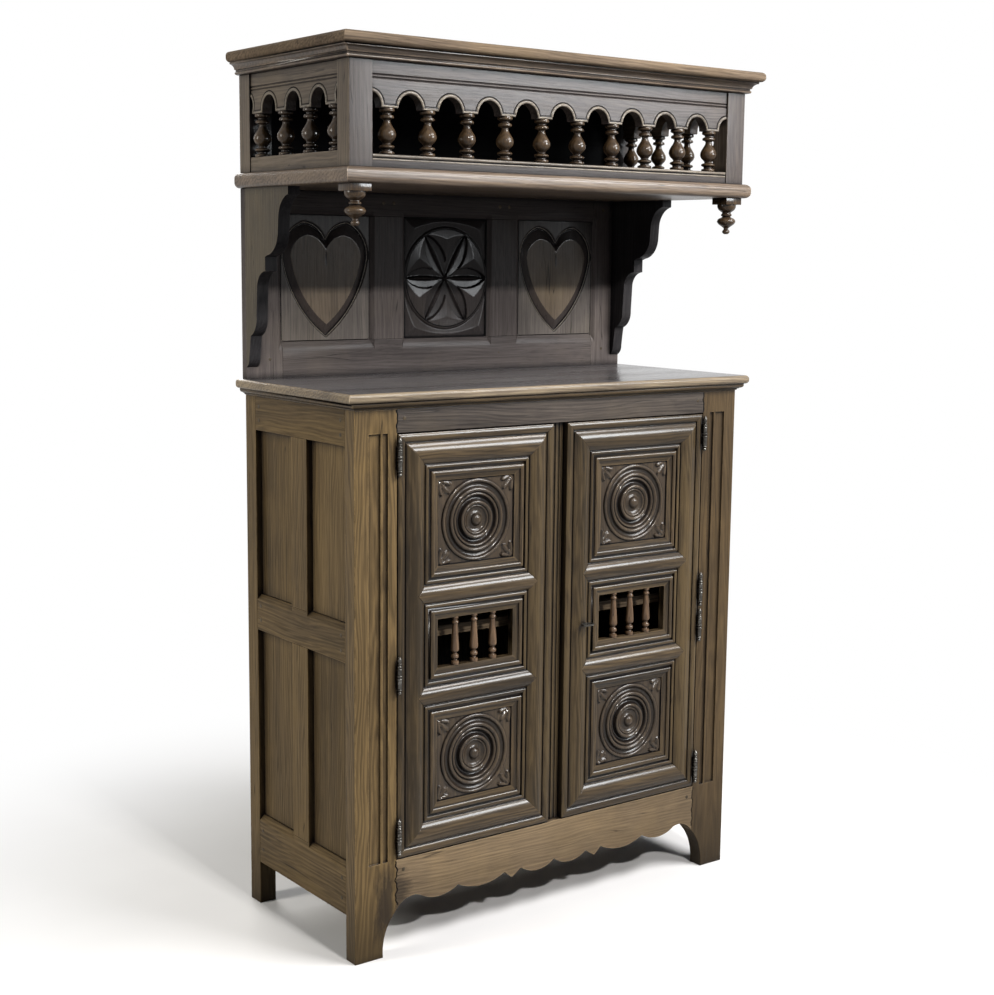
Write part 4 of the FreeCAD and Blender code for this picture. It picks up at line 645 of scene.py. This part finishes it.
def arc_points(start, end, bulge, count=14):
    """Points along an arc from start towards end; a positive bulge swells to the right of the way."""
    start = np.array(start, float)
    end = np.array(end, float)
    chord = end - start
    normal = np.array([chord[1], -chord[0]])
    sag = bulge / 2
    centre = (start + end) / 2 + normal * (sag ** 2 - 0.25) / (2 * sag)
    first = math.atan2(*(start - centre)[::-1])
    turn = math.atan2(*(end - centre)[::-1]) - first
    turn = turn % (2 * math.pi) if bulge > 0 else -((-turn) % (2 * math.pi))
    radius = np.linalg.norm(start - centre)
    angles = [first + turn * k / count for k in range(count)]
    return [centre + radius * np.array([math.cos(a), math.sin(a)]) for a in angles]


def heart(wide, side, top, notch, tip, lobe=0.3):
    """Heart outline from arcs; full lobes leave a narrow notch."""
    half = wide / 2
    crest = wide * 0.26
    loop = [((0, tip), 0.2), ((half, side), 0.36), ((crest, top), lobe), ((0, notch), lobe),
            ((-crest, top), 0.36), ((-half, side), 0.2)]
    points = []
    for index, (spot, bulge) in enumerate(loop):
        points += arc_points(spot, loop[(index + 1) % len(loop)][0], bulge)
    return np.array(points)


def heart_edge(wide, tall):
    return heart(wide * 0.97, tall * 0.15, tall * 0.45, tall * 0.315, -tall * 0.478)


def heart_face(wide, tall):
    return heart(wide * 0.79, tall * 0.17, tall * 0.34, tall * 0.086, -tall * 0.37, 0.52)


def distance(px, pz, points):
    """Distance from each grid point to a closed outline, and whether it lies inside."""
    best = np.full(px.shape, np.inf)
    inside = np.zeros(px.shape, bool)
    for a, b in zip(points, np.roll(points, -1, axis=0)):
        d = b - a
        t = np.clip(((px - a[0]) * d[0] + (pz - a[1]) * d[1]) / (d @ d), 0, 1)
        best = np.minimum(best, np.hypot(px - a[0] - t * d[0], pz - a[1] - t * d[1]))
        crosses = (a[1] > pz) != (b[1] > pz)
        inside ^= crosses & (px < a[0] + (pz - a[1]) * d[0] / (d[1] if abs(d[1]) > 1e-12 else 1e-12))
    return best, inside


HEART_CUT = 0.0022
HEART_EDGE = 0.005
HEART_VALLEY = 0.0042
HEART_RISE = 0.0032
HEART_GROUND = 0.0008


def heart_field(x, z, wide, tall):
    """Raised heart whose bevelled rim falls to a shallow step, in which a bead and two cuts run."""
    from_outer, in_outer = distance(x, z, heart_edge(wide, tall))
    from_inner, in_inner = distance(x, z, heart_face(wide, tall))
    share = (from_outer - HEART_EDGE) / (from_outer - HEART_EDGE + from_inner + 1e-9)
    bevel = -HEART_VALLEY + (HEART_VALLEY + HEART_RISE) * share
    band = np.where(from_outer < HEART_EDGE, -HEART_CUT, bevel)
    return np.where(in_inner, HEART_RISE, np.where(in_outer, band, HEART_GROUND))


def heart_zone(x, z, wide, tall):
    """0 on the ground, 1 on the bevel round the heart, 2 on its face."""
    outlines = (heart_edge(wide, tall), heart_face(wide, tall))
    return sum(distance(x, z, outline)[1].astype(np.int32) for outline in outlines)


PETALS = 6
PETAL_HALF = 0.0235
PETAL_CORE = 0.25
PETAL_ROOT = 0.001
PETAL_SINK = 0.0067
PETAL_RIDGE = 0.0005
PETAL_WALL = 0.0016
PETAL_FADE = 0.005
SPANDREL_RISE = 0.0013
SPANDREL_SLOPE = 0.13
RIM_MARGIN = 0.0012
RIM_WIDTH = 0.003
RIM_RISE = 0.0012
CORNER_FALL = 0.004
CORNER_SINK = 0.003
CORNER_SLOPE = 0.3


def rosette_field(x, z, wide, tall):
    """Sunk lens petals with a ridged core, three-sided pyramids between them, a sharp rim and roofed corners."""
    radius = wide / 2 - RIM_MARGIN
    r = np.hypot(x, z)
    half = radius / 2 - PETAL_ROOT
    curve = (half ** 2 + PETAL_HALF ** 2) / (2 * PETAL_HALF)
    gap = np.full(x.shape, np.inf)
    petals = np.zeros_like(x)
    in_petal = np.zeros(x.shape, bool)
    for k in range(PETALS):
        angle = 2 * math.pi * k / PETALS
        along = x * math.cos(angle) + z * math.sin(angle) - half - PETAL_ROOT
        across = np.abs(-x * math.sin(angle) + z * math.cos(angle))
        side = np.hypot(along, across + curve - PETAL_HALF) - curve
        inside = (side < 0) & (np.abs(along) < half)
        rim = np.sqrt(np.maximum(curve ** 2 - along ** 2, 0)) - (curve - PETAL_HALF)
        core = np.maximum(PETAL_CORE * rim, TINY)
        ridge = PETAL_RIDGE - (PETAL_SINK + PETAL_RIDGE) * np.clip(across / core, 0, 1)
        wall = -PETAL_SINK + PETAL_WALL * np.clip((across - core) / np.maximum(rim - core, TINY), 0, 1)
        fade = np.clip(rim / PETAL_FADE, 0, 1)
        sunk = np.where(across < core, ridge, wall) * fade + SPANDREL_RISE * (1 - fade)
        petals = np.where(inside, sunk, petals)
        in_petal |= inside
        gap = np.minimum(gap, np.where(inside, 0.0, np.maximum(side, np.abs(along) - half)))
    inner = radius - RIM_WIDTH
    pyramid = SPANDREL_RISE + SPANDREL_SLOPE * np.minimum(gap, np.maximum(inner - r, 0))
    rim_rise = RIM_RISE - (RIM_RISE - SPANDREL_RISE) * np.clip((radius - r) / RIM_WIDTH, 0, 1)
    to_edge = np.minimum(wide / 2 - np.abs(x), tall / 2 - np.abs(z))
    past = r - radius - CORNER_FALL
    fall = RIM_RISE - (RIM_RISE + CORNER_SINK) * np.clip((r - radius) / CORNER_FALL, 0, 1)
    corner = np.where(past > 0, -CORNER_SINK + CORNER_SLOPE * np.minimum(past, to_edge), fall)
    return np.where(r > radius, corner, np.where(r > inner, rim_rise, np.where(in_petal, petals, pyramid)))


def smoothed(h):
    inner = h.copy()
    inner[1:-1, 1:-1] = (4 * h[1:-1, 1:-1] + h[:-2, 1:-1] + h[2:, 1:-1] + h[1:-1, :-2] + h[1:-1, 2:]) / 8
    return inner


CARVING_STEP = 0.0012


def carved_panel(name, node, field, woods, zone=None):
    """Panel with a field of heights in front and a plain back; a zone picks the wood of each face."""
    low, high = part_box(node)
    middle = (low + high) / 2
    wide = high.x - low.x
    tall = high.z - low.z
    columns = int(wide / CARVING_STEP)
    rows = int(tall / CARVING_STEP)
    x, z = np.meshgrid(np.linspace(-wide / 2, wide / 2, columns), np.linspace(-tall / 2, tall / 2, rows))
    h = smoothed(field(x, z, wide, tall))
    h[0, :] = h[-1, :] = 0
    h[:, 0] = h[:, -1] = 0
    verts = np.stack([middle.x + x, low.y - h, middle.z + z], -1).reshape(-1, 3).tolist()
    grid = np.arange(rows * columns).reshape(rows, columns)
    faces = np.stack([grid[:-1, :-1], grid[:-1, 1:], grid[1:, 1:], grid[1:, :-1]], -1).reshape(-1, 4).tolist()
    rim = np.concatenate([grid[0, :-1], grid[:-1, -1], grid[-1, :0:-1], grid[:0:-1, 0]]).tolist()
    back = list(range(len(verts), len(verts) + len(rim)))
    verts += [[verts[k][0], high.y, verts[k][2]] for k in rim]
    faces += [*zip(rim, rim[1:] + rim[:1], back[1:] + back[:1], back), back]
    mesh = make(name, verts, faces, woods[0], "carcass", "oak_panel", 34, (node,)).data
    for wood in (*woods[1:], PLAIN_BACK):
        mesh.materials.append(wood)
    spots = np.array([polygon.center for polygon in mesh.polygons])
    which = zone(spots[:, 0] - middle.x, spots[:, 2] - middle.z, wide, tall) if zone else 0
    behind = np.array([polygon.normal.y > 0.5 for polygon in mesh.polygons])
    mesh.polygons.foreach_set("material_index", np.where(behind, len(woods), which).astype(np.int32))


for side in DOOR_SIDES:
    carved_panel(f"carved_heart_{side}", f"heart_panel_{side}", heart_field, (FIELD_OAK, BAND_OAK, HEART_OAK),
                 heart_zone)
carved_panel("carved_rosette", "rosette_panel", rosette_field, (ROSETTE_OAK,))


# Beads and cut lines of the gallery; the cut lines are near-black strips of painted shade.

def bead_line(name, runs, width, material, flatten, body="carcass", closed=False):
    """Round bead along runs of points; flatten is its face's axis and place, and its thinness there."""
    curve = bpy.data.curves.new(name, "CURVE")
    curve.dimensions = "3D"
    curve.bevel_depth = width / 2
    curve.bevel_resolution = 2
    curve.use_fill_caps = True
    for points in runs:
        spline = curve.splines.new("POLY")
        spline.points.add(len(points) - 1)
        spline.use_cyclic_u = closed
        for point, spot in zip(spline.points, points):
            point.co = (*spot, 1.0)
    drawn = bpy.data.objects.new(f"{name}_line", curve)
    scene.collection.objects.link(drawn)
    bpy.context.view_layer.update()
    mesh = bpy.data.meshes.new_from_object(drawn)
    bpy.data.objects.remove(drawn)
    verts = [list(v.co) for v in mesh.vertices]
    axis, face, thin = flatten
    for vert in verts:
        vert[axis] = face + (vert[axis] - face) * thin
    make(name, verts, [tuple(p.vertices) for p in mesh.polygons], material, body, "oak_frame", 60)


ARCH_WIDTH = 0.057
ARCH_BULGE = 0.96
END_BULGE = 0.4
LINE_END = 0.001
ARCH_LINES = (("bead", 0.0027, 0.0058, 0.5, BEAD_OAK), ("cut", 0.0072, 0.0026, 0.3, LINE_OAK))


def arch_run(half, pitch, count, rise, lift):
    """Points along an arcade, a lift above its lower edge, as (along, up)."""
    up = np.array((0.0, lift))
    tip = (pitch - ARCH_WIDTH) / 2
    first = -pitch * (count - 1) / 2
    spring = rise - ARCH_BULGE * ARCH_WIDTH / 2
    run = [p + up for p in arc_points((-half, rise), (first - tip + lift, 0.0), -END_BULGE, 8)]
    for index in range(count):
        middle = first + pitch * index
        left = middle + tip - lift
        right = middle + tip + ARCH_WIDTH + lift
        run += [np.array((middle - tip + lift, lift)), np.array((left, lift))]
        if index < count - 1:
            run += arc_points((left, spring), (right, spring), -ARCH_BULGE, 20)
            run.append(np.array((right, spring)))
    run += [p + up for p in arc_points((left, 0.0), (half, rise), -END_BULGE, 8)]
    run.append(np.array((half, rise + lift)))
    return run


def arcade_lines(node, axis, outward, count, end, rise):
    """Bead and cut along an arcade that runs along an axis, on its outward face."""
    low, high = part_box(node)
    half = (high[axis] - low[axis]) / 2
    middle = (high[axis] + low[axis]) / 2
    face = low[1 - axis] if outward < 0 else high[1 - axis]
    pitch = (2 * half - 2 * end) / (count - 1)
    for what, lift, width, thin, material in ARCH_LINES:
        points = []
        for along, up in arch_run(half - LINE_END, pitch, count, rise, lift):
            spot = [face, face, low.z + up]
            spot[axis] = middle + along
            points.append(spot)
        bead_line(f"{node}_{what}", [points], width, material, (1 - axis, face, thin))


arcade_lines("arcade_front", 0, -1, 10, 0.043, 0.030)
arcade_lines("arcade_left", 1, -1, 4, 0.028, 0.037)
arcade_lines("arcade_right", 1, 1, 4, 0.028, 0.037)

# Two beads and a cut along the top of the front sill: how far down each lies, its width and its thinness.
SILL_LINES = (("upper_bead", 0.0032, 0.0052, 0.55, BEAD_OAK), ("cut", 0.0070, 0.0030, 0.3, LINE_OAK),
              ("lower_bead", 0.0104, 0.0036, 0.5, BEAD_OAK))
low, high = max(solids("gallery_sills"), key=lambda pair: pair[1][0] - pair[0][0])
for what, drop, width, thin, material in SILL_LINES:
    run = [(x, low[1], high[2] - drop) for x in np.linspace(low[0] + LINE_END, high[0] - LINE_END, 12)]
    bead_line(f"sill_{what}", [run], width, material, (1, low[1], thin))


# Cuts and beads of the hutch panels, and the dark gaps round all carved panels; cuts and gaps are near-black
# strips of painted shade.

def inset(points, gap):
    """Closed outline moved inwards by a gap; its points run anticlockwise."""
    after = np.roll(points, -1, axis=0) - points
    after = after / np.linalg.norm(after, axis=1)[:, None]
    way = np.roll(after, 1, axis=0) + after
    way = way / np.maximum(np.linalg.norm(way, axis=1), TINY)[:, None]
    return points + gap * np.stack([-way[:, 1], way[:, 0]], 1)


def round_frame(half_x, half_z, corner, steps=6):
    """Rectangle outline with round corners, anticlockwise about its middle."""
    points = []
    for turn, (sx, sz) in enumerate(((1, 1), (-1, 1), (-1, -1), (1, -1))):
        for k in range(steps + 1):
            angle = math.pi / 2 * (turn + k / steps)
            points.append((sx * (half_x - corner) + corner * math.cos(angle),
                           sz * (half_z - corner) + corner * math.sin(angle)))
    return points


def stand(outline, middle, y):
    """Outline of (across, up) about a middle, set upright at a depth."""
    return [(middle[0] + u, y, middle[2] + v) for u, v in outline]


HUTCH_GAP = 0.0034
HUTCH_GAP_INSET = 0.001
HUTCH_GAP_CORNER = 0.006
DOOR_GAP = 0.003
DOOR_GAP_INSET = 0.0006
DOOR_GAP_CORNER = 0.001
NEAR_PANEL = 0.002
RING_SIDES = 96
RING_INSET = 0.0042
RING_CUT = 0.003
HEART_CUT_WIDTH = 0.0026
HEART_CUT_INSETS = (0.0006, 0.0046)
HEART_BEAD_WIDTH = 0.0024
HEART_BEAD_INSET = 0.0026

gaps = []
for node in ("heart_panel_left", "heart_panel_right", "rosette_panel"):
    low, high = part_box(node)
    middle = (low + high) / 2
    face = low.y
    wide = high.x - low.x
    tall = high.z - low.z
    frame_line = round_frame(wide / 2 - HUTCH_GAP_INSET, tall / 2 - HUTCH_GAP_INSET, HUTCH_GAP_CORNER)
    gaps.append(stand(frame_line, middle, face))
    if node == "rosette_panel":
        radius = wide / 2 - RING_INSET
        angles = [2 * math.pi * k / RING_SIDES for k in range(RING_SIDES)]
        circle = [(radius * math.cos(a), radius * math.sin(a)) for a in angles]
        rim = face - SPANDREL_RISE
        bead_line("rosette_ring_cut", [stand(circle, middle, rim)], RING_CUT, LINE_OAK, (1, rim, 0.5), closed=True)
        continue
    side = node.rsplit("_", 1)[1]
    edge = heart_edge(wide, tall)
    step = face + HEART_CUT
    cuts = [stand(inset(edge, gap), middle, step) for gap in HEART_CUT_INSETS]
    bead_line(f"heart_cuts_{side}", cuts, HEART_CUT_WIDTH, LINE_OAK, (1, step, 0.6), closed=True)
    bead = stand(inset(edge, HEART_BEAD_INSET), middle, step)
    bead_line(f"heart_bead_{side}", [bead], HEART_BEAD_WIDTH, BEAD_OAK, (1, step, 0.9), closed=True)
bead_line("hutch_panel_gaps", gaps, HUTCH_GAP, LINE_OAK, (1, face, 0.5), closed=True)

for side in DOOR_SIDES:
    spots = np.array([vertex.co for vertex in nodes[f"{side}_door_mouldings"].data.vertices])
    gaps = []
    for low, high in solids(f"{side}_door_panels"):
        middle = (low + high) / 2
        face = high[1] - PANEL_DEPTH
        away = np.abs(spots - middle)[:, [0, 2]]
        near = away[np.all(away < (high - low)[[0, 2]] / 2 + NEAR_PANEL, axis=1)]
        half_x, half_z = near.min(0) - DOOR_GAP_INSET
        gaps.append(stand(round_frame(half_x, half_z, DOOR_GAP_CORNER, 2), middle, face))
    bead_line(f"{side}_panel_gaps", gaps, DOOR_GAP, LINE_OAK, (1, face, 0.5), f"{side}_door", True)


# Hinges: slim turned barrels with ball tips, profiles in millimetres, and leaves in the gap beside the door.
LOW_HINGE = [(0, -13.5), (2.7, -12.8), (4.6, -10.2), (4.2, -7.4), (2.6, -5.4, 1), (4, -4.4), (5.6, -3.1),
             (5.4, -1.8), (4.2, -0.7, 1), (4.8, 0.6), (5, 8), (5, 16.2), (4.6, 17.2, 1), (6.2, 18.6), (6.4, 20),
             (6.2, 21.4), (4.8, 22.6, 1), (4.8, 23, 1), (0, 23)]
HIGH_HINGE = [(0, 0), (4.8, 0, 1), (4.8, 0.5, 1), (6.2, 1.6), (6.4, 3), (6.2, 4.4), (4.6, 5.6, 1), (5, 6.8),
              (5, 14.2), (4.5, 15.2, 1), (5.8, 16.6), (5.8, 18.2), (4.4, 19.6, 1), (4.4, 20.6, 1), (5.5, 22),
              (5.5, 23.6), (4, 25, 1), (3.3, 26.8), (4.6, 28.4), (4.6, 29.6), (3, 31, 1), (4, 33.2), (4.7, 35.8),
              (4.2, 39.2), (2.4, 42.4), (1, 44.2), (0, 44.6)]
LOW_BARREL = 0.023
HIGH_BARREL = 0.027
BARREL_RADIUS = 0.0065
HINGE_SIDES = 24
LEAF_HALF = 0.001
LEAF_START = 0.002
LEAF_TRIM = 0.001
LEAF_EDGE = 0.0003


def hinges(name, node, body, profile, length):
    parts = []
    for low, high in solids(node):
        x = (low[0] + high[0]) / 2
        y = low[1] + BARREL_RADIUS
        parts.append(lathe(rounded(profile, MILLIMETRE, MILLIMETRE, 3), (x, y, low[2]), HINGE_SIDES))
        leaf_low = (x - LEAF_HALF, y + LEAF_START, low[2] + LEAF_TRIM)
        parts.append(block(leaf_low, (x + LEAF_HALF, high[1], low[2] + length - LEAF_TRIM), LEAF_EDGE))
    make(name, *gather(parts), IRON, body, "iron", 45, (node,))


hinges("turned_hinges_lower", "hinge_posts", "carcass", LOW_HINGE, LOW_BARREL)
for side in DOOR_SIDES:
    hinges(f"turned_hinges_{side}", f"{side}_door_barrels", f"{side}_door", HIGH_HINGE, HIGH_BARREL)


# Draw pegs of the joints, each a low dome of rings: shares of its radius and of its rise.
PEG_RADIUS = 0.0042
PEG_RISE = 0.0007
PEG_SIDES = 14
PEG_RINGS = ((1.0, -0.6), (1.0, 0.1), (0.86, 0.62), (0.55, 0.92), (0.02, 1.0))
HUTCH_PEGS = (-0.478, -0.180, -0.152, 0.152, 0.180, 0.478)
HUTCH_PEG_LIFT = 0.004
SIDE_PEG_INSET = 0.016
FRONT_PEG_INSET = 0.018
FRONT_PEG_DROP = 0.4
FRONT_RAIL_HEIGHT = 0.06


def peg(spot, way):
    """Peg at a spot on a face that looks to the front, the left or the right."""
    x, y, z = spot
    line = [(share * PEG_RADIUS, rise * PEG_RISE) for share, rise in PEG_RINGS]
    verts, faces = lathe(line, (0.0, 0.0, 0.0), PEG_SIDES)
    if way == "front":
        return [(x + u, y - out, z + v) for u, v, out in verts], faces
    outward = -1 if way == "left" else 1
    return [(x + outward * out, y + u, z + v) for u, v, out in verts], faces


parts = []
for low, high in solids("hutch_rails"):
    height = (low[2] + high[2]) / 2 + HUTCH_PEG_LIFT
    parts += [peg((x, low[1], height), "front") for x in HUTCH_PEGS]
for side in DOOR_SIDES:
    for low, high in solids(f"side_rails_{side}"):
        face = low[0] if side == "left" else high[0]
        for y in (low[1] + SIDE_PEG_INSET, high[1] - SIDE_PEG_INSET):
            for share in (0.3, 0.7):
                parts.append(peg((face, y, low[2] + share * (high[2] - low[2])), side))
for node in ("front_apron", "front_head_rail"):
    low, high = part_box(node)
    height = high.z - FRONT_PEG_DROP * min(high.z - low.z, FRONT_RAIL_HEIGHT)
    for x in (low.x + FRONT_PEG_INSET, high.x - FRONT_PEG_INSET):
        parts.append(peg((x, low.y, height), "front"))
make("joint_pegs", *gather(parts), PEG_OAK, "carcass", "oak_frame", 50)

# Bearers under the back edge of the worktop, three lengths as high as the bed moulding.
BEARER_DEPTH = 0.03
BEARER_GAP = 0.0005
BEARER_BACK = 0.001
low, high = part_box("bed_mould")
back_ends = [v.co.x for v in nodes["bed_mould"].data.vertices if v.co.y > high.y - BEARER_BACK and v.co.x < 0]
ends = np.linspace(max(back_ends), -max(back_ends), 4)
parts = [block((a + BEARER_GAP, high.y - BEARER_DEPTH, low.z), (b - BEARER_GAP, high.y - BEARER_BACK, high.z))
         for a, b in zip(ends, ends[1:])]
make("worktop_bearers", *gather(parts), RAW("x", 0), "carcass", "oak_plain", 45)

# Joints of the apron and head rail that opened with age, most of all at the left foot.
JOINT_WIDTH = 0.003
JOINT_STEPS = 26
JOINT_END = 0.002
APRON_JOINT = 0.1


def wander(x, z):
    return 0.0012 * math.sin(170 * z + 40 * x) + 0.0008 * math.sin(410 * z)


runs = []
for node in ("front_apron", "front_head_rail"):
    low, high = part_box(node)
    bottom = high.z - APRON_JOINT if node == "front_apron" else low.z + JOINT_END
    for x in (low.x, high.x):
        ragged = 2.0 if node == "front_apron" and x < 0 else 1.0
        heights = np.linspace(bottom, high.z - JOINT_END, JOINT_STEPS)
        runs.append([(x + ragged * wander(x, z), low.y, z) for z in heights])
bead_line("opened_joints", runs, JOINT_WIDTH, LINE_OAK, (1, low.y, 0.2))


# Floor, light and camera.
FLOOR_HALF = 30.0
FLOOR_BOUNCE = (0.22, 0.22, 0.23, 1.0)
FLOOR_FADE = (0.62, 1.7)
FILL_COLOUR = (0.72, 0.85, 1.0, 1.0)
FILL_STRENGTH = 0.06


def seen_directly(graph):
    """1 for rays from the camera, a mirror or glass."""
    path = graph.add("ShaderNodeLightPath").outputs
    either = graph.math("MAXIMUM", path["Is Camera Ray"], path["Is Glossy Ray"])
    return graph.math("MAXIMUM", either, path["Is Transmission Ray"])


def pale_floor():
    """Pale floor that fades into the white backdrop away from the piece, and keeps its shadow."""
    graph = Graph(bpy.data.materials.new("pale_floor"))
    place = graph.place()
    direct = seen_directly(graph)
    colour = graph.ramp(graph.noise(place, 3.0, 2.0), [(0.3, (0.88, 0.88, 0.88)), (0.7, (0.92, 0.92, 0.92))])
    colour = graph.mix(direct, FLOOR_BOUNCE, colour)
    shader = graph.add("ShaderNodeBsdfPrincipled", {"Base Color": colour, "Roughness": 0.8,
                                                    "Specular IOR Level": 0.1})
    white = graph.add("ShaderNodeEmission", {"Color": WHITE, "Strength": 1.0})
    fade = graph.spread(graph.length(place), *FLOOR_FADE, interpolation_type="SMOOTHSTEP")
    share = graph.math("MULTIPLY", fade, direct)
    both = graph.add("ShaderNodeMixShader", {0: share, 1: shader.outputs[0], 2: white.outputs[0]})
    graph.add("ShaderNodeOutputMaterial", {"Surface": both.outputs[0]})
    mesh = bpy.data.meshes.new("floor")
    corners = [(x * FLOOR_HALF, y * FLOOR_HALF, 0.0) for x, y in ((-1, -1), (1, -1), (1, 1), (-1, 1))]
    mesh.from_pydata(corners, [], [(0, 1, 2, 3)])
    mesh.materials.append(graph.owner)
    floor = bpy.data.objects.new("floor", mesh)
    scene.collection.objects.link(floor)


def backdrop():
    """White to the eye and to polish, a soft cool fill otherwise."""
    graph = Graph(bpy.data.worlds.new("studio"))
    scene.world = graph.owner
    fill = graph.add("ShaderNodeBackground", {"Color": FILL_COLOUR, "Strength": FILL_STRENGTH})
    white = graph.add("ShaderNodeBackground", {"Color": WHITE, "Strength": 1.0})
    both = graph.add("ShaderNodeMixShader", {0: seen_directly(graph), 1: fill.outputs[0], 2: white.outputs[0]})
    graph.add("ShaderNodeOutputWorld", {"Surface": both.outputs[0]})


def lamp(name, spot, target, size, power, colour, polish_only=False):
    """Soft rectangular lamp; a polish lamp shows only in the sheen of the wax."""
    data = bpy.data.lights.new(name, "AREA")
    data.shape = "RECTANGLE"
    data.size, data.size_y = size
    data.energy = power
    data.color = colour
    lamp_object = bpy.data.objects.new(name, data)
    lamp_object.location = spot
    way = Vector(target) - Vector(spot)
    lamp_object.rotation_euler = way.to_track_quat("-Z", "Y").to_euler()
    lamp_object.visible_diffuse = not polish_only
    scene.collection.objects.link(lamp_object)


pale_floor()
backdrop()
lamp("front", (-0.4, -4.4, 3.7), (0.0, 0.0, 1.1), (0.5, 0.16), 145.0, (1.0, 0.97, 0.94))
lamp("overhead", (1.6, -2.4, 3.6), (0.1, -0.2, 0.9), (2.4, 0.8), 195.0, (1.0, 0.98, 0.97))
lamp("left", (-4.0, 0.7, 2.2), (-0.4, 0.0, 0.9), (0.9, 1.6), 90.0, (1.0, 0.96, 0.88))
lamp("back", (0.6, 4.2, 2.6), (0.0, 0.2, 0.9), (2.4, 1.6), 110.0, (1.0, 0.98, 0.95))
lamp("polish", (2.5, -3.5, 2.4), (0.0, -0.2, 0.9), (1.7, 1.0), 205.0, (0.93, 0.97, 1.0), True)

# Camera as fitted to the photograph's corners.
YAW, PITCH, ROLL = (math.radians(a) for a in (36.714, -8.423, 0.611))
EYE = Vector((-2.239546, -2.984523, 1.474843))
FOCAL_PIXELS = 1636.446
IMAGE_WIDTH = 994
SENSOR_WIDTH = 36.0
camera_data = bpy.data.cameras.new("camera")
camera_data.sensor_fit = "HORIZONTAL"
camera_data.sensor_width = SENSOR_WIDTH
camera_data.lens = FOCAL_PIXELS * SENSOR_WIDTH / IMAGE_WIDTH
camera = bpy.data.objects.new("camera", camera_data)
view = Matrix.Translation(EYE)
for angle, axis in ((-YAW, "Z"), (math.pi / 2 + PITCH, "X"), (ROLL, "Z")):
    view = view @ Matrix.Rotation(angle, 4, axis)
camera.matrix_world = view
scene.collection.objects.link(camera)
scene.camera = camera
